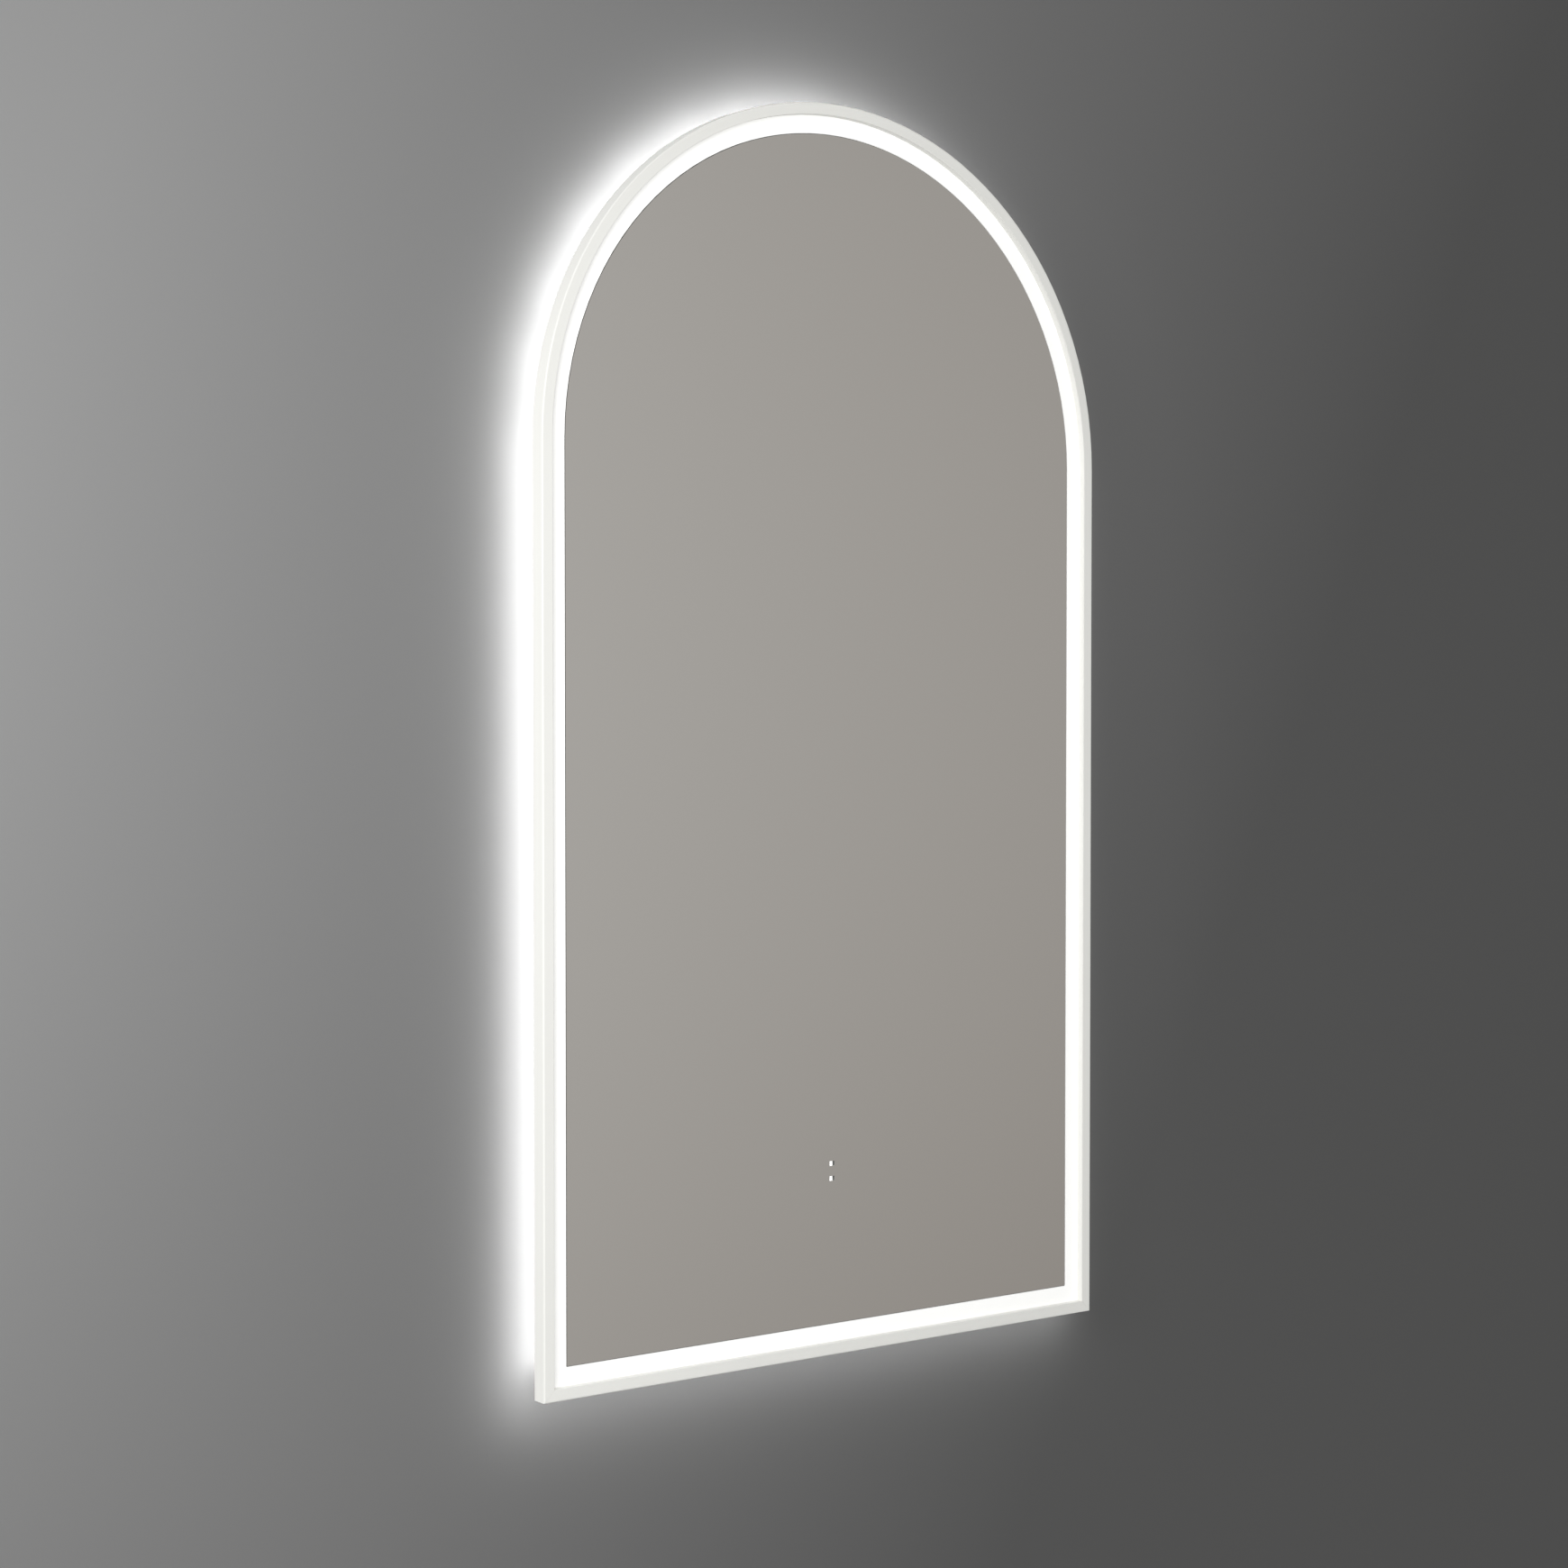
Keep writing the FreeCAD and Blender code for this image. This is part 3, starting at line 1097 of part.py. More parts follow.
def make_leads():
    """Every lead runs from the box to its light, pad, sensor or stud, clear of what it passes."""
    middle, foot = dim(BOX_Z), dim(BOTTOM)
    level = dim("Dim.lead_depth")
    thin = dim("Dim.thin_lead_radius")
    terminal_left = dim("Dim.terminal_left")
    terminal_right = dim("Dim.terminal_left + Dim.terminal_width")
    driver_left, driver_right = dim("Dim.driver_left"), dim("Dim.driver_left + Dim.driver_length")
    driver_middle = dim(f"{BOX_FLOOR} - Dim.driver_height") + 8
    shape_part("lead_mains", lead([
        (terminal_right, driver_middle + 2, middle + 4),
        (terminal_right + 4, driver_middle + 2, middle + 4),
        (driver_left - 4, driver_middle, middle - 2),
        (driver_left, driver_middle, middle - 2),
    ], dim("Dim.mains_lead_radius")))

    out, tape_x = dim("Dim.front_lead_out"), dim("Dim.front_tape_lead")
    slot_depth = dim(f"{PAN_FLOOR} + Dim.ring_wall + 3")
    front_tape = dim(f"{PAN_FLOOR} + Dim.tape_thickness")
    shape_part("lead_front_led", lead([
        (driver_right, level, middle - 6),
        (out, level, middle - 6),
        (out, level, middle - 75),
        (out - 6, level, middle - 150),
        (tape_x + 20, level + 0.7, foot + 56),
        (tape_x, slot_depth, foot + 40),
        (tape_x, slot_depth, foot + 17),
        (tape_x, front_tape, foot + 17),
    ], dim("Dim.lead_radius")))

    out, x, z = dim("Dim.rear_lead_out"), dim(REAR_LEAD_HOLE[0]), dim(REAR_LEAD_HOLE[1])
    strip = dim(f"{HALF_WIDTH} - Dim.rear_tape_inset") - 4
    behind = dim("Dim.rear_lead_depth")
    shape_part("lead_rear_led", lead([
        (driver_right, level, middle + 4),
        (out, level, middle + 4),
        (out, level, middle - 72),
        (out + 20, level, middle - 130),
        (x - 22, level, z),
        (x, level, z),
        (x, behind, z),
        (strip, behind, z),
        (strip, dim(f"{PAN_BACK} - Dim.tape_thickness"), z),
    ], thin))

    out = dim("Dim.sensor_lead_out")
    sensor_top = dim(f"{WINDOW_CENTRE} + Dim.sensor_height / 2")
    sensor_depth = dim("Dim.sensor_rear_depth") + 1.8
    shape_part("lead_touch_sensor", lead([
        (out, level, middle - dim("Dim.driver_width / 2")),
        (out, level, middle - 72),
        (out, sensor_depth, sensor_top + 12),
        (out, sensor_depth, sensor_top - 1.5),
    ], thin))

    out = dim("Dim.demister_lead_out")
    pad_low = dim("Dim.pad_centre - Dim.pad_height / 2")
    pad_back = dim(f"{FILM_BACK} - Dim.pad_thickness")
    shape_part("lead_demister", lead([
        (out, level, middle + dim("Dim.terminal_height / 2")),
        (out, level, middle + 75),
        (out, level + 4, pad_low - 5),
        (out, pad_back, pad_low - 5),
    ], dim("Dim.lead_radius")))

    earth_x, earth_z = dim(EARTH_PLACE[0]), dim(EARTH_PLACE[1])
    tag_back = dim(f"{PAN_FLOOR} + 1.2")
    tag = Part.makeCylinder(5.5, 1.2, Vector(earth_x, -tag_back, earth_z), Vector(0, -1, 0))
    tail = lead([
        (terminal_left, level, middle + 3),
        (terminal_left - 14, level, middle + 3),
        (terminal_left - 38, level, middle + 20),
        (terminal_left - 62, level, middle + 20),
        (earth_x + 11, tag_back + 1.8, earth_z + 6),
        (earth_x + 4.7, tag_back + 1.8, earth_z + 2.6),
    ], dim("Dim.earth_lead_radius"))
    hole = cylinder(EARTH_PLACE[0], EARTH_PLACE[1], "2.1", PAN_FLOOR, f"{PAN_FLOOR} + 8")
    shape_part("lead_earth", tag.fuse(tail).cut(hole).removeSplitter())


# ---------------------------------------------------------------- build, check and write

HELPER_BODIES = ("left_key_blank", "right_key_blank")


def build():
    make_frame_arch()
    make_frame_bottom_rail()
    make_corner_keys()
    make_mirror_glass()
    make_mirror_safety_film()
    make_front_diffuser()
    make_mirror_support_ring()
    make_mirror_bonding_tape()
    make_back_pan()
    screw_set("pan_screws", pan_screw_places(), f"{FRAME_BACK} - Dim.sheet", 2.5, "Dim.pan_screw", 2.4, 1.6)
    make_lighting()
    make_electrics_box()
    make_electrics_box_gasket()
    flange_back = f"{PAN_BACK} - Dim.gasket_thickness - 1.2"
    screw_set("electrics_box_screws", box_flange_places(), flange_back, 6.0, "Dim.box_screw", 3.2, 2.0)
    make_electrics_cover()
    make_grommet("cable_inlet_grommet", "Dim.inlet_x", BOX_Z, "Dim.inlet_radius",
                 "Dim.box_rear_depth - Dim.cover_thickness", "Dim.box_rear_depth",
                 "Dim.inlet_radius + 2.9", "Dim.inlet_radius + 5.5", 1.6)
    make_grommet("rear_lead_grommet", REAR_LEAD_HOLE[0], REAR_LEAD_HOLE[1], "2.1",
                 PAN_BACK, PAN_FLOOR, "3.9", "5.5", 0.8)
    make_cable_clamp()
    make_terminal_block()
    make_driver()
    make_earth()
    make_demister_pad()
    make_touch_sensor()
    make_rails()
    make_bumpers()
    make_leads()


def subparts():
    """Every finished sub-part: bodies and shape features, but not the blanks used to make them."""
    return [
        o for o in doc.Objects
        if (o.TypeId == "PartDesign::Body" and o.Label not in HELPER_BODIES) or o.TypeId == "Part::Feature"
    ]


def check():
    for o in doc.Objects:
        if "Invalid" in o.State or "Error" in o.State:
            raise RuntimeError(f"{o.Label} failed: {o.State}")
    for o in subparts():
        if o.Shape.isNull() or not o.Shape.isValid() or not o.Shape.Solids:
            raise RuntimeError(f"{o.Label} has no sound solid")


def write():
    os.makedirs("parts", exist_ok=True)
    for o in subparts():
        o.Shape.exportStep(f"parts/{o.Label}.step")
        box = o.Shape.BoundBox
        print(f"{o.Label}: {len(o.Shape.Solids)} solids, {o.Shape.Volume:.0f} mm3, "
              f"{box.XLength:.1f} x {box.YLength:.1f} x {box.ZLength:.1f}")


build()
doc.recompute()
check()
write()
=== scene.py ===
# %% [markdown]
# A lighted arch mirror for a bathroom wall. Its construction comes as a fixed frame of parts at
# real size: the bent frame, the silvered pane, the opal band, the steel back with its rails and its
# electrics box. This lesson leaves the form of every part as it is. It gives each one its finish,
# and then sets the stage and the lights.
# Everything is in metres, X to the right, Z up, and the mirror faces -Y with the wall at Y = 0.

# %% Load the frame
import math

import bmesh
import bpy
from mathutils import Matrix, Vector


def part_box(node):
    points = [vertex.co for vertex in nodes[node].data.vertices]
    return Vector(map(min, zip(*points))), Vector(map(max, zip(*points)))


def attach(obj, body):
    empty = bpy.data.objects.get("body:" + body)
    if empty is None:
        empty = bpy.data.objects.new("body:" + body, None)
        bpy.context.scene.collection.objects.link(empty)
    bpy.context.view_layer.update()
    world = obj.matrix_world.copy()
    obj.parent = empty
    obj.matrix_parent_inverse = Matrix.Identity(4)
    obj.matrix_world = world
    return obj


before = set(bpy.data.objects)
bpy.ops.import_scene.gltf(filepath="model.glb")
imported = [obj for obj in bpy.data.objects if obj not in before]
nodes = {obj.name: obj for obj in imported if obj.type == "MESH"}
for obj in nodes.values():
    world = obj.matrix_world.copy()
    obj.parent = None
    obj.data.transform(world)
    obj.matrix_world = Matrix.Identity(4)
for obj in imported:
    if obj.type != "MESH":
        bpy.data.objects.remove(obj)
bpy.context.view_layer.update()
print("parts in the frame:", len(nodes))

MM = 0.001

# %% [markdown]
# The frame gives the sizes that the finishes and the lights are fitted to: the outer edge and the
# front of the lip come from the arch, the foot from the bottom rail, and the pane gives the front
# of the glass.

# %% Read the layers off the frame
frame_low, frame_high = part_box("frame_arch")
glass_low, glass_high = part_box("mirror_glass")

ARCH_RADIUS = frame_high.x
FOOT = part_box("frame_bottom_rail")[0].z
LIP_FRONT = frame_low.y
GLASS_FRONT = glass_low.y
print("arch radius", round(ARCH_RADIUS, 4), "foot", round(FOOT, 4))
print("lip stands", round((GLASS_FRONT - LIP_FRONT) / MM, 1), "mm proud of the glass, which is",
      round((glass_high.y - glass_low.y) / MM, 1), "mm thick")

# %% [markdown]
# The camera stands to the left of the mirror at the photograph's viewing angle, a little over two
# metres away, and looks very slightly down. Its lens and place were worked out from the straight
# edges and the semicircle of the glass, so the same corners fall on the same places in the picture.

# %% Camera at the photograph's angle
CAMERA_PLACE = Vector((-1.2988, -1.6923, -0.1781))
CAMERA_TURN = math.radians(-37.131)
LEVEL, LOOKS_DOWN = 90.0, 1.6
CAMERA_TILT = math.radians(LEVEL - LOOKS_DOWN)
CAMERA_LENS = 66.98
SENSOR_WIDTH = 36.0
NEAREST_SEEN = 0.05

camera_data = bpy.data.cameras.new("camera")
camera_data.lens = CAMERA_LENS
camera_data.sensor_width = SENSOR_WIDTH
camera_data.clip_start = NEAREST_SEEN
camera = bpy.data.objects.new("camera", camera_data)
camera.location = CAMERA_PLACE
camera.rotation_euler = (CAMERA_TILT, 0.0, CAMERA_TURN)
bpy.context.scene.collection.objects.link(camera)
bpy.context.scene.camera = camera
print("camera", round(CAMERA_PLACE.length, 3), "m from the wall rail")


# %% [markdown]
# Materials are made from nodes, and a few small helpers keep them short. One adds a node, one sets
# its inputs by name, and one joins two sockets. What feeds an input is either a plain value or a
# pair of a node and one of its outputs. A Mix node has sockets for several kinds of value under one
# name, so its colours go by number.

# %% Node helpers
COLOUR_A, COLOUR_B, COLOUR_OUT = 6, 7, 2


def add_node(tree, kind, **settings):
    node = tree.nodes.new(kind)
    for name, value in settings.items():
        setattr(node, name, value)
    return node


def set_inputs(node, **values):
    """Sets inputs by name, with an underscore for each space: From_Min=0.5 sets From Min."""
    for name, value in values.items():
        node.inputs[name.replace("_", " ")].default_value = value


def join(tree, from_node, from_socket, to_node, to_socket):
    tree.links.new(from_node.outputs[from_socket], to_node.inputs[to_socket])


def feed(tree, source, node, socket):
    """Links a pair of node and output to an input, or sets the input to a plain value."""
    if isinstance(source, tuple) and isinstance(source[0], bpy.types.Node):
        join(tree, *source, node, socket)
    else:
        node.inputs[socket].default_value = source


print("colour sockets of a Mix node:", COLOUR_A, COLOUR_B, "and", COLOUR_OUT)


# %% [markdown]
# The same few nodes come back in every finish, so each has a helper. It returns the pair of its
# node and its output, and such a pair can feed the next helper, which reads like a formula.

# %% Sums, ranges and mixes
def maths(tree, operation, *terms, **settings):
    node = add_node(tree, "ShaderNodeMath", operation=operation, **settings)
    for index, term in enumerate(terms):
        feed(tree, term, node, index)
    return node, "Value"


def vector_maths(tree, operation, first, second=None):
    node = add_node(tree, "ShaderNodeVectorMath", operation=operation)
    feed(tree, first, node, 0)
    if second is not None:
        feed(tree, second, node, 1)
    return node, "Vector" if operation == "MULTIPLY" else "Value"


def ranged(tree, source, **ends):
    """How far the source lies from From_Min to From_Max, put between To_Min and To_Max."""
    node = add_node(tree, "ShaderNodeMapRange")
    set_inputs(node, **ends)
    feed(tree, source, node, "Value")
    return node, "Result"


def mix_colours(tree, share, first, second):
    node = add_node(tree, "ShaderNodeMix", data_type="RGBA")
    feed(tree, share, node, "Factor")
    feed(tree, first, node, COLOUR_A)
    feed(tree, second, node, COLOUR_B)
    return node, COLOUR_OUT


def mix_shaders(tree, share, first, second):
    node = add_node(tree, "ShaderNodeMixShader")
    for source, socket in ((share, "Fac"), (first, 1), (second, 2)):
        feed(tree, source, node, socket)
    return node, "Shader"


def noise(tree, coordinates, scale, detail):
    node = add_node(tree, "ShaderNodeTexNoise")
    set_inputs(node, Detail=detail)
    feed(tree, scale, node, "Scale")
    feed(tree, coordinates, node, "Vector")
    return node, "Fac"


def object_place(tree):
    return add_node(tree, "ShaderNodeTexCoord"), "Object"


helpers = (maths, vector_maths, ranged, mix_colours, mix_shaders, noise, object_place)
print("helpers:", [helper.__name__ for helper in helpers])


# %% [markdown]
# What several finishes share goes into a node group, which is made once. It has named inputs, so
# each finish can set its own values on it.

# %% Node groups
def new_group(name, inputs, outputs):
    """A shader group with named sockets; each input is (name, kind, default)."""
    group = bpy.data.node_groups.new(name, "ShaderNodeTree")
    for socket_name, kind, default in inputs:
        socket = group.interface.new_socket(
            socket_name, in_out="INPUT", socket_type="NodeSocket" + kind)
        socket.default_value = default
    for socket_name, kind in outputs:
        group.interface.new_socket(
            socket_name, in_out="OUTPUT", socket_type="NodeSocket" + kind)
    return group, add_node(group, "NodeGroupInput"), add_node(group, "NodeGroupOutput")


def say_group(group):
    sockets = [s.name for s in group.interface.items_tree if s.in_out == "INPUT"]
    print("group", group.name, "with inputs", sockets)


print("groups so far:", len(bpy.data.node_groups))


# %% [markdown]
# Noise runs from 0 to 1 round a middle of one half. A gloss that should vary both ways round its
# own value takes the noise less that middle, and a bump needs a height in metres for a full step.
# The grain and the drawn lines both need these two, so each is a helper.

# %% Uneven gloss and bumps
NOISE_MIDDLE = 0.5


def uneven_gloss(group, pattern, group_in):
    """The group's Roughness, varied by its Gloss Spread as the pattern rises and falls."""
    centred = maths(group, "SUBTRACT", pattern, NOISE_MIDDLE)
    return maths(group, "MULTIPLY_ADD", centred, (group_in, "Gloss Spread"),
                 (group_in, "Roughness"))


def bumps(group, pattern, strength, distance):
    node = add_node(group, "ShaderNodeBump")
    set_inputs(node, Distance=distance)
    feed(group, pattern, node, "Height")
    feed(group, strength, node, "Strength")
    return node, "Normal"


print("noise varies gloss round", NOISE_MIDDLE)

# %% [markdown]
# Powder coat, moulded plastic, rubber and plated metal all have a fine grain: the colour drifts a
# little from place to place, the gloss is uneven, and the surface has small bumps. One group makes
# that from two sizes of noise on the part's own coordinates, and each finish sets its own scale.

# %% Fine grain group
BROAD_SCALE, BROAD_DETAIL = 9.0, 5.0
FINE_DETAIL = 2.0
GRAIN_BUMP = 0.0002

grain, grain_in, grain_out = new_group(
    "fine_grain",
    [
        ("Colour", "Color", (0.8, 0.8, 0.8, 1.0)),
        ("Drift Colour", "Color", (0.7, 0.7, 0.7, 1.0)),
        ("Drift", "Float", 0.3),
        ("Grain Scale", "Float", 1500.0),
        ("Grain Height", "Float", 0.1),
        ("Roughness", "Float", 0.4),
        ("Gloss Spread", "Float", 0.1),
    ],
    [("Colour", "Color"), ("Roughness", "Float"), ("Normal", "Vector")],
)
place = object_place(grain)
broad = noise(grain, place, BROAD_SCALE, BROAD_DETAIL)
fine = noise(grain, place, (grain_in, "Grain Scale"), FINE_DETAIL)
drift = maths(grain, "MULTIPLY", broad, (grain_in, "Drift"))
drifted = mix_colours(grain, drift, (grain_in, "Colour"), (grain_in, "Drift Colour"))
feed(grain, drifted, grain_out, "Colour")
feed(grain, uneven_gloss(grain, broad, grain_in), grain_out, "Roughness")
feed(grain, bumps(grain, fine, (grain_in, "Grain Height"), GRAIN_BUMP), grain_out, "Normal")
say_group(grain)

# %% [markdown]
# A coating is thinner on a sharp edge, and hands and tools rub it there first. The Bevel node tells
# how near a point is to an edge: on a flat face its rounded normal agrees with the true one, and
# beside an edge it doesn't. A noise breaks the rubbed line up, so it isn't the same all along.

# %% Rubbed edge group
BEVEL_SAMPLES = 4
FLAT_AGREEMENT, EDGE_AGREEMENT = 0.995, 0.8
PATCH_SCALE, PATCH_DETAIL = 60.0, 6.0

rub, rub_in, rub_out = new_group(
    "rubbed_edge",
    [
        ("Colour", "Color", (0.8, 0.8, 0.8, 1.0)),
        ("Rubbed Colour", "Color", (0.6, 0.6, 0.6, 1.0)),
        ("Amount", "Float", 0.5),
        ("Edge Width", "Float", 0.0006),
    ],
    [("Colour", "Color")],
)
true_normal = add_node(rub, "ShaderNodeNewGeometry")
rounded = add_node(rub, "ShaderNodeBevel", samples=BEVEL_SAMPLES)
join(rub, rub_in, "Edge Width", rounded, "Radius")
agreement = vector_maths(rub, "DOT_PRODUCT", (true_normal, "Normal"), (rounded, "Normal"))
near_edge = ranged(rub, agreement, From_Min=FLAT_AGREEMENT, From_Max=EDGE_AGREEMENT)
patches = noise(rub, object_place(rub), PATCH_SCALE, PATCH_DETAIL)
broken = maths(rub, "MULTIPLY", near_edge, patches)
wear = maths(rub, "MULTIPLY", broken, (rub_in, "Amount"))
worn = mix_colours(rub, wear, (rub_in, "Colour"), (rub_in, "Rubbed Colour"))
feed(rub, worn, rub_out, "Colour")
say_group(rub)

# %% [markdown]
# Drawn and extruded metal carries fine lines along its length. The noise is stretched by scaling
# the coordinates much less along X, the length of the rails, than across it.

# %% Drawn lines group
LINE_SCALE, LINE_DETAIL = 1.0, 3.0
LINE_BUMP = 0.0001

drawn, drawn_in, drawn_out = new_group(
    "drawn_lines",
    [
        ("Stretch", "Vector", (25.0, 2600.0, 2600.0)),
        ("Roughness", "Float", 0.35),
        ("Gloss Spread", "Float", 0.2),
        ("Line Height", "Float", 0.1),
    ],
    [("Lines", "Float"), ("Roughness", "Float"), ("Normal", "Vector")],
)
stretched = vector_maths(drawn, "MULTIPLY", object_place(drawn), (drawn_in, "Stretch"))
lines = noise(drawn, stretched, LINE_SCALE, LINE_DETAIL)
feed(drawn, lines, drawn_out, "Lines")
feed(drawn, uneven_gloss(drawn, lines, drawn_in), drawn_out, "Roughness")
feed(drawn, bumps(drawn, lines, (drawn_in, "Line Height"), LINE_BUMP), drawn_out, "Normal")
say_group(drawn)


# %% [markdown]
# Every finish starts with a Principled shader that has its constant values set on its own sockets.
# Most then take colour, gloss and bumps from the grain group. Drawn metal takes them from the
# drawn lines instead, and the mirror's pane has nodes of its own.

# %% Start of a finish
def linear(red, green, blue):
    """A colour in screen values from 0 to 255, turned into the linear one a shader takes."""
    def channel(value):
        share = value / 255
        return share / 12.92 if share <= 0.04045 else ((share + 0.055) / 1.055) ** 2.4
    return (channel(red), channel(green), channel(blue), 1.0)


def new_material(name, **constants):
    material = bpy.data.materials.new(name)
    material.use_nodes = True
    shader = material.node_tree.nodes["Principled BSDF"]
    set_inputs(shader, **constants)
    return material, material.node_tree, shader


def grained_finish(name, colour, drift_colour, drift, grain_scale, grain_height, roughness,
                   gloss_spread, rub_colour=None, rub_amount=0.5, edge_width=0.6 * MM,
                   **constants):
    material, tree, shader = new_material(name, **constants)
    texture = add_node(tree, "ShaderNodeGroup", node_tree=grain)
    set_inputs(texture, Colour=colour, Drift_Colour=drift_colour, Drift=drift,
               Grain_Scale=grain_scale, Grain_Height=grain_height, Roughness=roughness,
               Gloss_Spread=gloss_spread)
    join(tree, texture, "Colour", shader, "Base Color")
    join(tree, texture, "Roughness", shader, "Roughness")
    join(tree, texture, "Normal", shader, "Normal")
    if rub_colour:
        edges = add_node(tree, "ShaderNodeGroup", node_tree=rub)
        set_inputs(edges, Rubbed_Colour=rub_colour, Amount=rub_amount, Edge_Width=edge_width)
        join(tree, texture, "Colour", edges, "Colour")
        join(tree, edges, "Colour", shader, "Base Color")
    return material


DRAWN_EDGE = linear(236, 236, 236)
DRAWN_EDGE_WEAR = 0.8


def drawn_finish(name, colour, line_colour, stretch, roughness, gloss_spread, line_height):
    material, tree, shader = new_material(name, Metallic=1.0)
    grooves = add_node(tree, "ShaderNodeGroup", node_tree=drawn)
    set_inputs(grooves, Stretch=stretch, Roughness=roughness, Gloss_Spread=gloss_spread,
               Line_Height=line_height)
    edges = add_node(tree, "ShaderNodeGroup", node_tree=rub)
    set_inputs(edges, Rubbed_Colour=DRAWN_EDGE, Amount=DRAWN_EDGE_WEAR)
    feed(tree, mix_colours(tree, (grooves, "Lines"), colour, line_colour), edges, "Colour")
    join(tree, edges, "Colour", shader, "Base Color")
    join(tree, grooves, "Roughness", shader, "Roughness")
    join(tree, grooves, "Normal", shader, "Normal")
    return material


print("screen grey 128 is", round(linear(128, 128, 128)[0], 3), "to a shader")

# %% [markdown]
# The outside is white: a smooth satin powder coat on the frame, a coarser one on the steel back,
# and moulded plastic on the electrics box. The coat wears to grey on its edges, and the plastic
# to a lighter, polished white.

# %% White coats and mouldings
powder_coat = grained_finish(
    "white_powder_coat", linear(246, 246, 242), linear(239, 239, 234), drift=0.5,
    grain_scale=2400.0, grain_height=0.14, roughness=0.42, gloss_spread=0.1,
    rub_colour=linear(214, 213, 209), rub_amount=0.35, edge_width=0.35 * MM)
pan_coat = grained_finish(
    "pan_powder_coat", linear(228, 228, 228), linear(216, 216, 217), drift=0.7,
    grain_scale=1600.0, grain_height=0.3, roughness=0.5, gloss_spread=0.16,
    rub_colour=linear(168, 168, 166), rub_amount=0.7)
moulding = grained_finish(
    "white_moulded_plastic", linear(236, 235, 230), linear(227, 226, 220), drift=0.6,
    grain_scale=3200.0, grain_height=0.35, roughness=0.55, gloss_spread=0.12,
    rub_colour=linear(246, 245, 241), rub_amount=0.6)
print("white finishes:", [m.name for m in (powder_coat, pan_coat, moulding)])

# %% [markdown]
# Rubber, nylon, foam and film are dull and rough. Their edges turn paler where they are rubbed,
# apart from the foam and the film, which only drift in tone.

# %% Rubber, nylon, foam and film
black_rubber = grained_finish(
    "black_rubber", linear(38, 38, 38), linear(62, 61, 59), drift=0.7,
    grain_scale=1800.0, grain_height=0.45, roughness=0.75, gloss_spread=0.15,
    rub_colour=linear(84, 83, 80), rub_amount=0.7)
black_nylon = grained_finish(
    "black_nylon", linear(34, 34, 35), linear(48, 48, 49), drift=0.5,
    grain_scale=3000.0, grain_height=0.3, roughness=0.55, gloss_spread=0.1,
    rub_colour=linear(70, 70, 71), rub_amount=0.7)
foam = grained_finish(
    "closed_cell_foam", linear(52, 52, 54), linear(82, 82, 84), drift=0.8,
    grain_scale=900.0, grain_height=0.8, roughness=0.9, gloss_spread=0.05)
film = grained_finish(
    "safety_film", linear(176, 180, 182), linear(158, 163, 166), drift=0.6,
    grain_scale=1200.0, grain_height=0.2, roughness=0.6, gloss_spread=0.12)
print("dull finishes:", [m.name for m in (black_rubber, black_nylon, foam, film)])

# %% [markdown]
# Three metals: extruded aluminium with lines along the rails, and zinc plate and brass on the small
# fasteners, where the grain stands for the crystals of the plating.

# %% Metals
aluminium = drawn_finish(
    "extruded_aluminium", linear(228, 229, 230), linear(196, 198, 201),
    stretch=(9.0, 1500.0, 1500.0), roughness=0.36, gloss_spread=0.2, line_height=0.08)
zinc = grained_finish(
    "bright_zinc", linear(200, 202, 204), linear(160, 163, 172), drift=0.9,
    grain_scale=1600.0, grain_height=0.15, roughness=0.3, gloss_spread=0.18,
    rub_colour=linear(232, 233, 234), rub_amount=0.8, edge_width=0.3 * MM, Metallic=1.0)
brass = grained_finish(
    "terminal_brass", linear(214, 180, 112), linear(182, 142, 82), drift=0.7,
    grain_scale=1600.0, grain_height=0.12, roughness=0.3, gloss_spread=0.12,
    rub_colour=linear(236, 208, 150), rub_amount=0.8, edge_width=0.3 * MM, Metallic=1.0)
print("metals:", [m.name for m in (aluminium, zinc, brass)])

# %% [markdown]
# The electric parts: the white light tape with its yellow chips, the core and the sleeves on the
# driver's board, the white lead sheath and the terminal block.

# %% Electric parts
tape_board = grained_finish(
    "white_tape_board", linear(236, 236, 230), linear(220, 218, 206), drift=0.6,
    grain_scale=2000.0, grain_height=0.12, roughness=0.45, gloss_spread=0.1,
    rub_colour=linear(206, 164, 108), rub_amount=0.5, edge_width=0.3 * MM)
phosphor = grained_finish(
    "chip_phosphor", linear(250, 240, 196), linear(246, 226, 156), drift=0.7,
    grain_scale=2500.0, grain_height=0.12, roughness=0.35, gloss_spread=0.08)
ferrite = grained_finish(
    "ferrite_core", linear(62, 58, 54), linear(88, 78, 60), drift=0.7,
    grain_scale=2000.0, grain_height=0.5, roughness=0.7, gloss_spread=0.1)
sleeve = grained_finish(
    "capacitor_sleeve", linear(34, 44, 84), linear(26, 32, 64), drift=0.6,
    grain_scale=1400.0, grain_height=0.1, roughness=0.28, gloss_spread=0.08)
white_sheath = grained_finish(
    "white_lead_sheath", linear(232, 232, 230), linear(212, 211, 207), drift=0.6,
    grain_scale=1600.0, grain_height=0.15, roughness=0.4, gloss_spread=0.1)
terminal_nylon = grained_finish(
    "terminal_nylon", linear(224, 222, 212), linear(204, 202, 192), drift=0.6,
    grain_scale=2600.0, grain_height=0.2, roughness=0.45, gloss_spread=0.08,
    rub_colour=linear(238, 237, 230), rub_amount=0.6)
print("electric finishes:",
      [m.name for m in (tape_board, phosphor, ferrite, sleeve, white_sheath, terminal_nylon)])


# %% [markdown]
# Three finishes carry a pattern: the heating film has a copper track laid to and fro, the circuit
# boards have thin tracks under green lacquer, and the earth lead has a yellow stripe on green. A
# Wave texture on the part's own coordinates draws such bands, and some distortion makes those of
# the film and the boards less even.

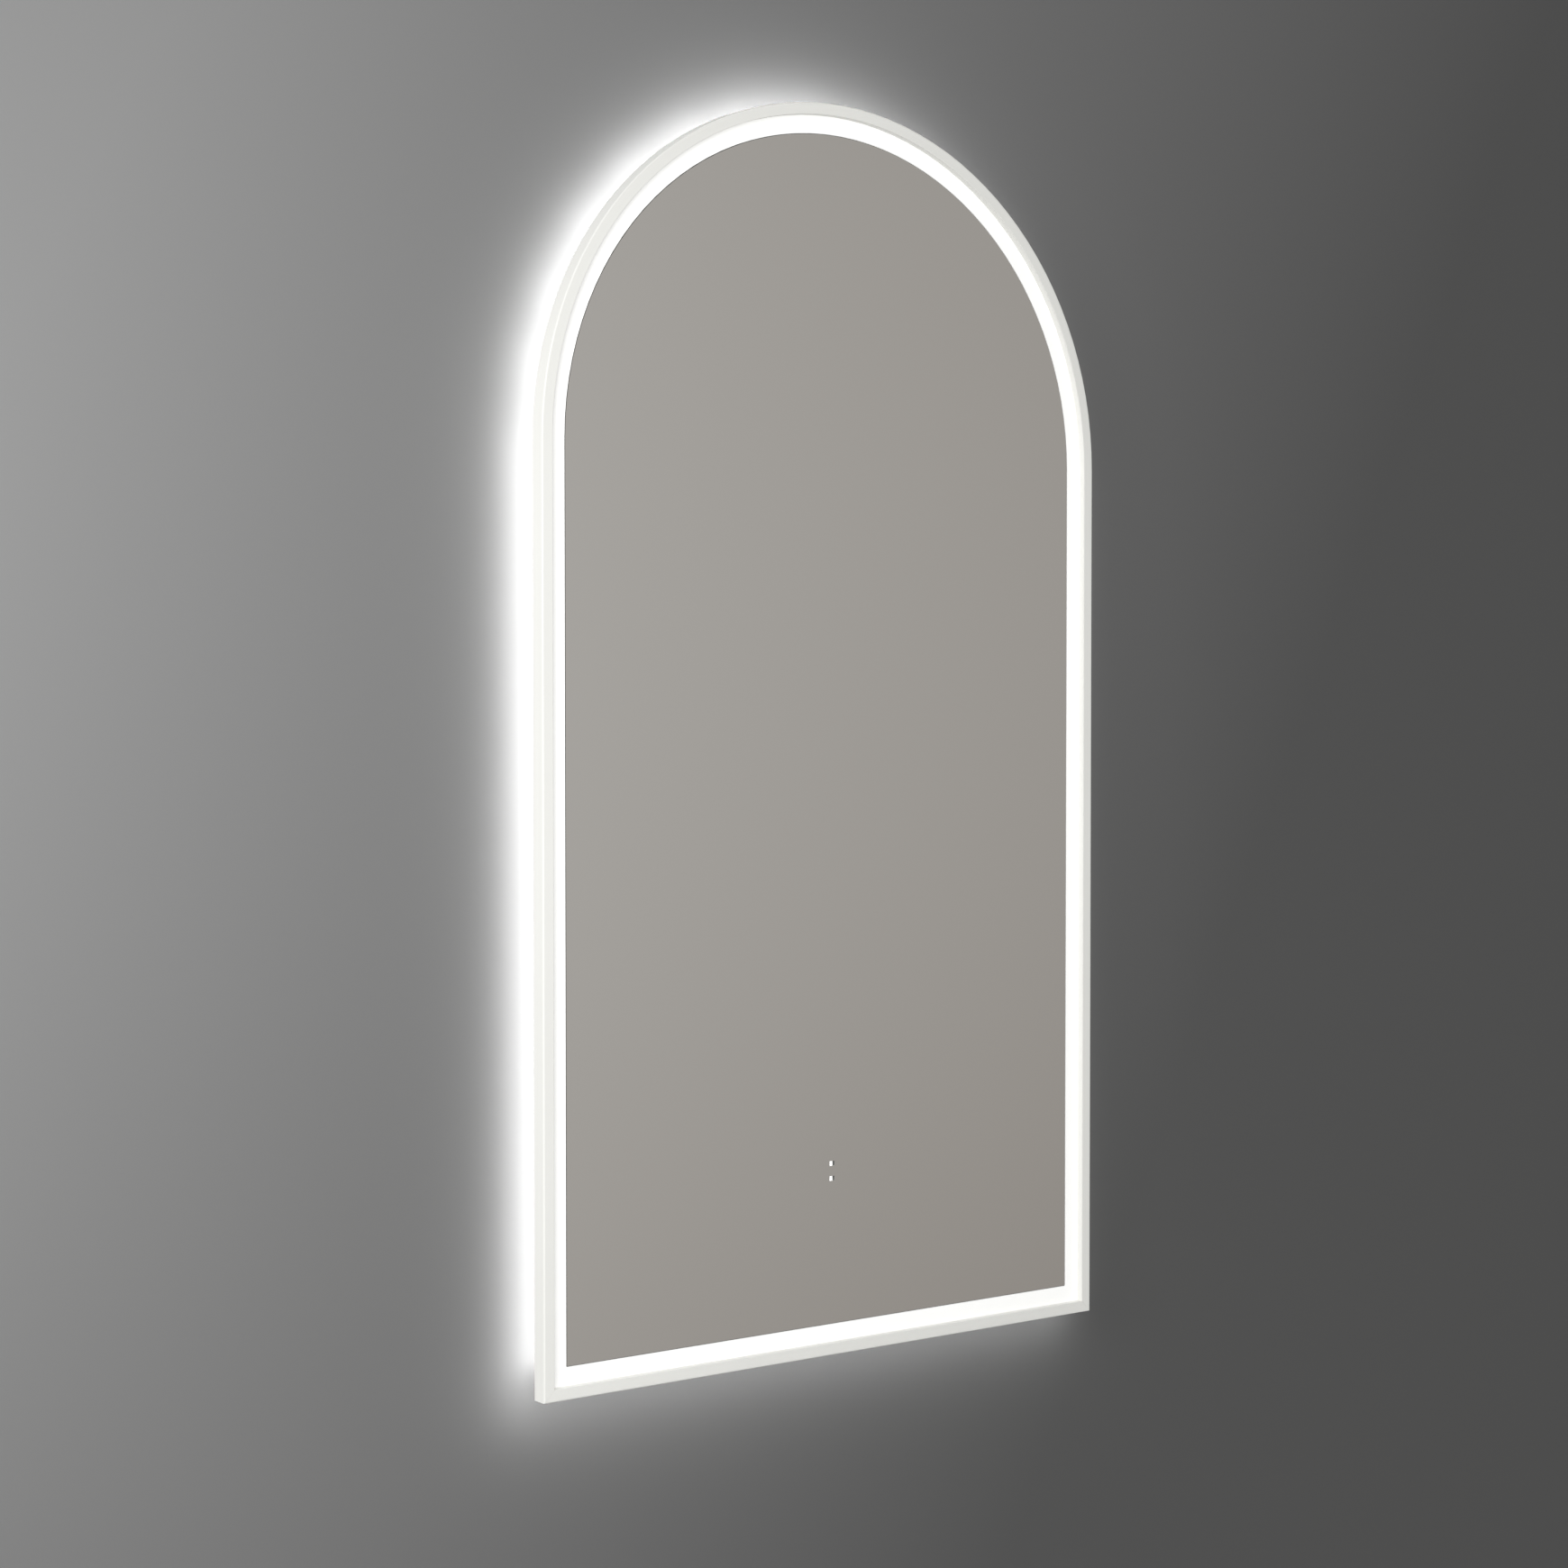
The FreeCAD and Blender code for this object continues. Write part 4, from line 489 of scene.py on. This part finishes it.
# %% Patterned finishes
def banded_finish(name, base, band, direction, wave_scale, distortion, band_start, band_full,
                  **grain_values):
    material = grained_finish(name, base, base, **grain_values)
    tree = material.node_tree
    wave = add_node(tree, "ShaderNodeTexWave", bands_direction=direction)
    set_inputs(wave, Scale=wave_scale, Distortion=distortion, Detail_Scale=1.0)
    feed(tree, object_place(tree), wave, "Vector")
    in_band = ranged(tree, (wave, "Fac"), From_Min=band_start, From_Max=band_full)
    texture = next(n for n in tree.nodes if n.type == "GROUP" and n.node_tree is grain)
    painted = mix_colours(tree, in_band, (texture, "Colour"), band)
    feed(tree, painted, tree.nodes["Principled BSDF"], "Base Color")
    return material


heater = banded_finish(
    "heating_film", linear(214, 186, 140), linear(186, 112, 66), direction="Z",
    wave_scale=40.0, distortion=0.6, band_start=0.55, band_full=0.7,
    drift=0.4, grain_scale=1000.0, grain_height=0.1, roughness=0.4, gloss_spread=0.1)
circuit_green = banded_finish(
    "circuit_board_green", linear(26, 92, 56), linear(50, 138, 82), direction="X",
    wave_scale=90.0, distortion=14.0, band_start=0.6, band_full=0.7,
    drift=0.4, grain_scale=1200.0, grain_height=0.1, roughness=0.35, gloss_spread=0.1)
earth_sheath = banded_finish(
    "earth_lead_sheath", linear(70, 150, 60), linear(226, 210, 60), direction="DIAGONAL",
    wave_scale=50.0, distortion=0.0, band_start=0.5, band_full=0.56,
    drift=0.4, grain_scale=1600.0, grain_height=0.15, roughness=0.4, gloss_spread=0.08)
print("patterned finishes:", [m.name for m in (heater, circuit_green, earth_sheath)])

# %% [markdown]
# The band and the two window floors are opal acrylic with lights behind. In the studio light the
# band is nearly white already, so a gentle glow brings it to full white and still throws little
# light on the lip beside it. The windows lie deeper and glow by themselves, and so does the band
# that faces the wall.

# %% Lit opal
WHITE = (1.0, 1.0, 1.0, 1.0)
BAND_GLOW = 0.27
WINDOW_GLOW = 1.0
REAR_GLOW = 1.0


def lit_opal(name, colour, drift_colour, roughness, glow):
    return grained_finish(
        name, colour, drift_colour, drift=0.3, grain_scale=3000.0, grain_height=0.04,
        roughness=roughness, gloss_spread=0.05, Emission_Color=WHITE, Emission_Strength=glow)


opal_front = lit_opal(
    "lit_opal_acrylic", linear(252, 252, 250), linear(248, 248, 246), roughness=0.32,
    glow=BAND_GLOW)
opal_rear = lit_opal(
    "lit_opal_rear", linear(250, 250, 246), linear(244, 244, 240), roughness=0.4,
    glow=REAR_GLOW)
guide_glow = lit_opal(
    "lit_window_floor", linear(252, 252, 250), linear(248, 248, 246), roughness=0.3,
    glow=WINDOW_GLOW)
print("glow of band, rear band and windows:", BAND_GLOW, REAR_GLOW, WINDOW_GLOW)

# %% [markdown]
# The pane is silvered glass. Its front is a clean reflector with the faintest unevenness in its
# gloss, as polished glass has. Its ground rim and the walls of the two small windows are dull and
# dark. The distance from the wall tells front from rim, so one material does both.

# %% Silvered pane
SKIN = 0.05 * MM
HAZE_SCALE, HAZE_DETAIL = 420.0, 4.0
FRONT_GLOSS = {"To_Min": 0.02, "To_Max": 0.05}
RIM_ROUGHNESS = 0.5
RIM_TONE = linear(92, 93, 91)
SILVER_TONE = linear(238, 239, 238)

silvered, tree, shader = new_material("silvered_glass", Metallic=1.0)
spot = object_place(tree)
axes = add_node(tree, "ShaderNodeSeparateXYZ")
feed(tree, spot, axes, "Vector")
on_front = maths(tree, "LESS_THAN", (axes, "Y"), GLASS_FRONT + SKIN)
haze = ranged(tree, noise(tree, spot, HAZE_SCALE, HAZE_DETAIL), **FRONT_GLOSS)
gloss = add_node(tree, "ShaderNodeMix", data_type="FLOAT")
set_inputs(gloss, A=RIM_ROUGHNESS)
feed(tree, on_front, gloss, "Factor")
feed(tree, haze, gloss, "B")
join(tree, gloss, "Result", shader, "Roughness")
tint = mix_colours(tree, on_front, RIM_TONE, SILVER_TONE)
print("front of the glass at", round(GLASS_FRONT / MM, 1), "mm")

# %% [markdown]
# Light from the floor of each window also falls on its lower edge, the sill, which reads as white
# in the photograph. The sills lie just under the two light guides, so the guides' box gives their
# heights, and only points behind the front of the glass take that white.

# %% Lit sills of the windows
GUIDE_GAP = 0.1 * MM
GUIDE_RISE = 3.3 * MM
SILL_TONE = linear(250, 250, 248)

guide_low, guide_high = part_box("touch_light_guides")
sill_heights = (guide_low.z - GUIDE_GAP, guide_high.z - GUIDE_RISE - GUIDE_GAP)
at_sills = [maths(tree, "COMPARE", (axes, "Z"), height, SKIN) for height in sill_heights]
at_either = maths(tree, "MAXIMUM", *at_sills)
behind_front = maths(tree, "SUBTRACT", 1.0, on_front)
on_sill = maths(tree, "MULTIPLY", at_either, behind_front)
feed(tree, mix_colours(tree, on_sill, tint, SILL_TONE), shader, "Base Color")
print("sills at", [round(height / MM, 1) for height in sill_heights], "mm")

# %% [markdown]
# At the crown of the arch the lip's inner wall faces down and lies in its own shade, which shows as
# a fine grey line between lip and band. The soft studio light fills that shade, so the coat there
# is a little darker. It fades out down the arch, and the front of the lip keeps its white.

# %% Shade under the crown
LIP_WIDTH = 8.4 * MM
CROWN_SHADE = 0.27
BLACK = (0.0, 0.0, 0.0, 1.0)
FLATTEN_DEPTH = (1.0, 0.0, 1.0)

inner_radius = ARCH_RADIUS - LIP_WIDTH
tree = powder_coat.node_tree
shader = tree.nodes["Principled BSDF"]
spot = object_place(tree)
axes = add_node(tree, "ShaderNodeSeparateXYZ")
feed(tree, spot, axes, "Vector")
reach = vector_maths(tree, "LENGTH", vector_maths(tree, "MULTIPLY", spot, FLATTEN_DEPTH))
inside_lip = maths(tree, "LESS_THAN", reach, inner_radius + SKIN)
before_glass = maths(tree, "LESS_THAN", (axes, "Y"), GLASS_FRONT)
facing_down = ranged(tree, (axes, "Z"), From_Max=inner_radius, To_Max=CROWN_SHADE)
on_inner_wall = maths(tree, "MULTIPLY", inside_lip, before_glass)
depth_of_shade = maths(tree, "MULTIPLY", on_inner_wall, facing_down)
coat = shader.inputs["Base Color"].links[0]
shaded = mix_colours(tree, depth_of_shade, (coat.from_node, coat.from_socket.name), BLACK)
feed(tree, shaded, shader, "Base Color")
print("shade of", CROWN_SHADE, "at", round(inner_radius / MM, 1), "mm above the arch's centre")

# %% [markdown]
# Each part in the frame keeps its own mesh and takes a finish in its material slot. The list
# below pairs finishes with parts, in the words a fitter would use for them.

# %% Dress the parts
FINISHES = [
    (powder_coat, ["frame_arch", "frame_bottom_rail"]),
    (silvered, ["mirror_glass"]),
    (opal_front, ["front_diffuser"]),
    (guide_glow, ["touch_light_guides"]),
    (opal_rear, ["rear_diffuser"]),
    (pan_coat, ["back_pan"]),
    (moulding, ["mirror_support_ring", "electrics_box", "electrics_cover"]),
    (aluminium, ["hanger_rail", "wall_rail", "frame_corner_keys", "driver_case", "driver_lid"]),
    (zinc, ["pan_screws", "electrics_box_screws", "electrics_cover_screws", "cable_clamp_screws",
            "driver_fixing_screws", "hanger_screws", "hanger_nuts", "bumper_screws",
            "corner_key_screws", "earth_nut", "earth_stud"]),
    (brass, ["terminal_screws"]),
    (black_rubber, ["cable_inlet_grommet", "rear_lead_grommet", "wall_bumpers"]),
    (black_nylon, ["cable_clamp", "touch_sensor_housing"]),
    (foam, ["mirror_bonding_tape", "electrics_box_gasket"]),
    (film, ["mirror_safety_film"]),
    (tape_board, ["front_led_tape", "rear_led_tape"]),
    (phosphor, ["front_led_chips", "rear_led_chips"]),
    (circuit_green, ["driver_circuit_board", "touch_sensor_board"]),
    (ferrite, ["driver_transformer"]),
    (sleeve, ["driver_capacitors"]),
    (heater, ["demister_pad"]),
    (terminal_nylon, ["terminal_block"]),
    (white_sheath, ["lead_mains", "lead_front_led", "lead_rear_led", "lead_touch_sensor",
                    "lead_demister"]),
    (earth_sheath, ["lead_earth"]),
]
dressed = set()
for finish, names in FINISHES:
    for name in names:
        part = nodes[name]
        part.data.materials.clear()
        part.data.materials.append(finish)
        dressed.add(name)
print("dressed", len(dressed), "parts; still bare:", sorted(set(nodes) - dressed))


# %% [markdown]
# The stage is a plain wall at Y = 0, which shows the glow of the rear light, and a plain pale
# floor. Each is one flat sheet with a dull finish.

# %% Wall and floor
FAR = 14.0
FLOOR_DROP = 1.15
FLOOR_HEIGHT = FOOT - FLOOR_DROP
STAGE_ROUGHNESS = 0.9
STAGE_SPECULAR = 0.1


def plain_sheet(name, corners):
    mesh = bpy.data.meshes.new(name)
    sheet_bm = bmesh.new()
    sheet_bm.faces.new([sheet_bm.verts.new(corner) for corner in corners])
    sheet_bm.to_mesh(mesh)
    sheet_bm.free()
    sheet = bpy.data.objects.new(name, mesh)
    bpy.context.scene.collection.objects.link(sheet)
    material, tree, shader = new_material(
        name, Roughness=STAGE_ROUGHNESS, Specular_IOR_Level=STAGE_SPECULAR)
    mesh.materials.append(material)
    return sheet, tree, shader


wall, wall_tree, wall_shader = plain_sheet(
    "wall",
    [(-FAR, 0.0, FLOOR_HEIGHT), (FAR, 0.0, FLOOR_HEIGHT), (FAR, 0.0, FAR), (-FAR, 0.0, FAR)])
floor, floor_tree, floor_shader = plain_sheet(
    "floor",
    [(-FAR, -FAR, FLOOR_HEIGHT), (FAR, -FAR, FLOOR_HEIGHT), (FAR, FAR, FLOOR_HEIGHT),
     (-FAR, FAR, FLOOR_HEIGHT)])
print("wall faces", [round(v) for v in wall.data.polygons[0].normal])

# %% [markdown]
# This is painted light and shade: the wall is painted lighter towards the upper left and darker
# towards the lower right, so two plain greys slope into each other across it. A dot product with
# the direction of the slope tells how far a point lies along it. Seen from behind, the wall has to
# vanish, so its back face is clear, and only the camera sees it, so it neither blocks nor adds
# light on the mirror's back.

# %% Painted light and shade on the wall
WALL_SLOPE = (-0.8, 0.0, 0.4)
SLOPE_REACH = 0.5
# Painted light and shade: the lighter grey stands for the wall lit at the upper left, the darker
# for its shade at the lower right.
SHADED_WALL, LIT_WALL = linear(95, 95, 95), linear(140, 140, 140)

along_slope = vector_maths(wall_tree, "DOT_PRODUCT", object_place(wall_tree), WALL_SLOPE)
painted_light_share = ranged(wall_tree, along_slope, From_Min=-SLOPE_REACH, From_Max=SLOPE_REACH)
painted_wall_light = mix_colours(wall_tree, painted_light_share, SHADED_WALL, LIT_WALL)
feed(wall_tree, painted_wall_light, wall_shader, "Base Color")
wall_side = add_node(wall_tree, "ShaderNodeNewGeometry")
clear = add_node(wall_tree, "ShaderNodeBsdfTransparent")
one_sided = mix_shaders(
    wall_tree, (wall_side, "Backfacing"), (wall_shader, "BSDF"), (clear, "BSDF"))
feed(wall_tree, one_sided, wall_tree.nodes["Material Output"], "Surface")
wall.visible_diffuse = False
wall.visible_glossy = False
wall.visible_transmission = False
wall.visible_shadow = False
print("wall tones run over", round(2 * SLOPE_REACH / Vector(WALL_SLOPE).length, 2), "m")

# %% [markdown]
# The floor is near white. A little light of its own, for the camera only, keeps it pale, and it
# isn't in the mirror, where the photograph shows no floor.

# %% Paint on the floor
FLOOR_TONE = linear(248, 248, 246)
FLOOR_LIFT = 0.16

set_inputs(floor_shader, Base_Color=FLOOR_TONE)
floor_rays = add_node(floor_tree, "ShaderNodeLightPath")
lift = add_node(floor_tree, "ShaderNodeEmission")
set_inputs(lift, Strength=FLOOR_LIFT)
lifted = add_node(floor_tree, "ShaderNodeAddShader")
join(floor_tree, floor_shader, "BSDF", lifted, 0)
join(floor_tree, lift, "Emission", lifted, 1)
pale_floor = mix_shaders(
    floor_tree, (floor_rays, "Is Camera Ray"), (floor_shader, "BSDF"), (lifted, "Shader"))
feed(floor_tree, pale_floor, floor_tree.nodes["Material Output"], "Surface")
floor.visible_glossy = False
print("floor lies", FLOOR_DROP, "m under the mirror")

# %% [markdown]
# What the mirror reflects is the world as glossy rays see it. In front of the wall that is a calm
# warm grey, lighter towards the left and at eye level. The direction of the ray is the Generated
# coordinate, so sums on its parts give the share of the lighter grey.

# %% Grey that the mirror reflects
GREY_TURN, GREY_START = -3.6, 2.95
EYE_LEVEL, LEVEL_FALL = 0.04, -7.0
DARK_ROOM, LIGHT_ROOM = linear(148, 142, 136), linear(178, 174, 170)

world = bpy.data.worlds.new("studio")
bpy.context.scene.world = world
world.use_nodes = True
tree = world.node_tree
tree.nodes.clear()
direction = add_node(tree, "ShaderNodeSeparateXYZ")
join(tree, add_node(tree, "ShaderNodeTexCoord"), "Generated", direction, "Vector")
across = maths(tree, "MULTIPLY_ADD", (direction, "X"), GREY_TURN, GREY_START)
off_level = maths(tree, "SUBTRACT", (direction, "Z"), EYE_LEVEL)
squared = maths(tree, "MULTIPLY", off_level, off_level)
light_grey = maths(tree, "MULTIPLY_ADD", squared, LEVEL_FALL, across, use_clamp=True)
reflected = mix_colours(tree, light_grey, DARK_ROOM, LIGHT_ROOM)
print("the reflected grey fades", -LEVEL_FALL, "times the square of the height off eye level")

# %% [markdown]
# Behind the wall line the reflections are a plain sky from grey to white, so that the metal at the
# back has something to show. One fades into the other between about a third and two thirds of the
# turn from sideways to straight back.

# %% Sky for the metal at the back
BACK_STARTS, BACK_FULL = 0.55, 0.85
SKY_LOW, SKY_HIGH = -0.6, 0.5
SKY_DARK, SKY_LIGHT = linear(118, 118, 120), linear(252, 252, 252)

backwards = ranged(tree, (direction, "Y"), From_Min=BACK_STARTS, From_Max=BACK_FULL)
sky_height = ranged(tree, (direction, "Z"), From_Min=SKY_LOW, From_Max=SKY_HIGH)
rear_sky = mix_colours(tree, sky_height, SKY_DARK, SKY_LIGHT)
room = mix_colours(tree, backwards, reflected, rear_sky)
print("rear sky from", SKY_LOW, "to", SKY_HIGH)

# %% [markdown]
# The light itself is an even white from all round. The camera sees a pale backdrop instead, and
# glossy rays see the room made above, so the three are picked apart by the kind of ray.

# %% World
WORLD_LIGHT = 0.53
BACKDROP = linear(232, 232, 230)


def background(**values):
    node = add_node(tree, "ShaderNodeBackground")
    set_inputs(node, **values)
    return node, "Background"


soft_grey = background()
feed(tree, room, soft_grey[0], "Color")
soft_white = background(Color=WHITE, Strength=WORLD_LIGHT)
rays = add_node(tree, "ShaderNodeLightPath")
lit_or_seen = mix_shaders(tree, (rays, "Is Glossy Ray"), soft_white, soft_grey)
with_camera = mix_shaders(
    tree, (rays, "Is Camera Ray"), lit_or_seen, background(Color=BACKDROP))
feed(tree, with_camera, add_node(tree, "ShaderNodeOutputWorld"), "Surface")
print("world light", WORLD_LIGHT)

# %% [markdown]
# One large soft lamp stands to the left, so the white frame is a little brighter on its left side,
# as in the photograph. A second one behind the wall lights the back, which the front never sees.

# %% Soft lamps
LEFT_LAMP = {"place_at": (-1.22, -0.9, -0.05), "aim_at": (0.0, 0.0, -0.15), "width": 0.8,
             "power": 13.5}
REAR_LAMP = {"place_at": (0.9, 1.7, 1.1), "aim_at": (0.0, 0.0, -0.2), "width": 0.9,
             "power": 13.0}


def soft_lamp(name, place_at, aim_at, width, power):
    data = bpy.data.lights.new(name, "AREA")
    data.shape = "SQUARE"
    data.size = width
    data.energy = power
    lamp = bpy.data.objects.new(name, data)
    lamp.location = place_at
    towards = Vector(aim_at) - Vector(place_at)
    lamp.rotation_euler = towards.to_track_quat("-Z", "Y").to_euler()
    bpy.context.scene.collection.objects.link(lamp)
    lamp.visible_camera = False
    lamp.visible_glossy = False
    return lamp


for lamp in (soft_lamp("left_lamp", **LEFT_LAMP), soft_lamp("rear_lamp", **REAR_LAMP)):
    print(lamp.name, lamp.data.energy, "W")

# %% [markdown]
# The rear band really washes the wall with a strong glow. Given to the band itself, that strength
# would bleach the whole back of the mirror in any view from behind. So thin lamps lie behind the
# frame, and light linking lets them light the wall and nothing else. They ride on the mirror, as
# the band does, so the glow rises with it.

# %% One lamp of the wash
MIRROR_UNIT = "mirror_unit"
TOWARDS_ROOM = Vector((0.0, -1.0, 0.0))

washed = bpy.data.collections.new("washed_by_rear_light")
washed.objects.link(wall)


def wash_lamp(name, start, end, width, radiance):
    """A strip lamp from start to end that faces the wall and lights nothing else."""
    along = end - start
    data = bpy.data.lights.new(name, "AREA")
    data.shape = "RECTANGLE"
    data.size = along.length
    data.size_y = width
    data.energy = radiance * math.pi * along.length * width
    lamp = bpy.data.objects.new(name, data)
    along.normalize()
    turn = Matrix((along, TOWARDS_ROOM.cross(along), TOWARDS_ROOM)).transposed()
    lamp.matrix_world = Matrix.Translation((start + end) / 2) @ turn.to_4x4()
    bpy.context.scene.collection.objects.link(lamp)
    lamp.visible_camera = False
    lamp.visible_glossy = False
    lamp.light_linking.receiver_collection = washed
    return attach(lamp, MIRROR_UNIT)


# %% [markdown]
# Two rows of such lamps follow the outline. The near row lies close to the wall and makes the
# bright rim beside the frame, and the wide row stands further off it, for the soft part of the
# glow. Each row has a strip down both sides, short ones round the arch, which can be stronger at
# the crown, and one at the foot. The wide row's strip at the foot lies just below the frame's edge,
# so that its light reaches the wall there.

# %% Wash of light on the wall
ARCH_STEPS = 14
CROWN_FOCUS = 3


def wash_ring(name, inset, depth, width, side, crown):
    """Lamps down both sides and round the arch: side and crown are the radiance there."""
    radius, low = ARCH_RADIUS - inset, FOOT + inset
    lamps = []
    for k in range(ARCH_STEPS):
        here, there = (math.pi * step / ARCH_STEPS for step in (k, k + 1))
        crown_share = math.sin((here + there) / 2) ** CROWN_FOCUS
        lamps.append(wash_lamp(
            f"{name}_arch_{k}",
            Vector((radius * math.cos(here), -depth, radius * math.sin(here))),
            Vector((radius * math.cos(there), -depth, radius * math.sin(there))),
            width, side + (crown - side) * crown_share))
    for label, x, start, end in (("left", -radius, 0.0, low), ("right", radius, low, 0.0)):
        lamps.append(wash_lamp(
            f"{name}_{label}", Vector((x, -depth, start)), Vector((x, -depth, end)), width, side))
    return lamps


def wash_foot(name, inset, depth, width, radiance):
    half, low = ARCH_RADIUS - inset, FOOT + inset
    return [wash_lamp(
        name, Vector((-half, -depth, low)), Vector((half, -depth, low)), width, radiance)]


near_row = {"inset": 18.0 * MM, "depth": 10.0 * MM, "width": 12.0 * MM}
wash = wash_ring("near_wash", **near_row, side=6.5, crown=6.5)
wash += wash_foot("near_wash_foot", **near_row, radiance=6.5)
wash += wash_ring("wide_wash", inset=6.0 * MM, depth=24.0 * MM, width=6.0 * MM,
                  side=20.0, crown=36.0)
wash += wash_foot("wide_wash_foot", inset=-8.0 * MM, depth=33.0 * MM, width=6.0 * MM,
                  radiance=12.5)
print("wash lamps", len(wash))

# %% [markdown]
# The picture is shown as it is rendered, with no film look over it.

# %% Finish
view = bpy.context.scene.view_settings
view.view_transform = "Standard"
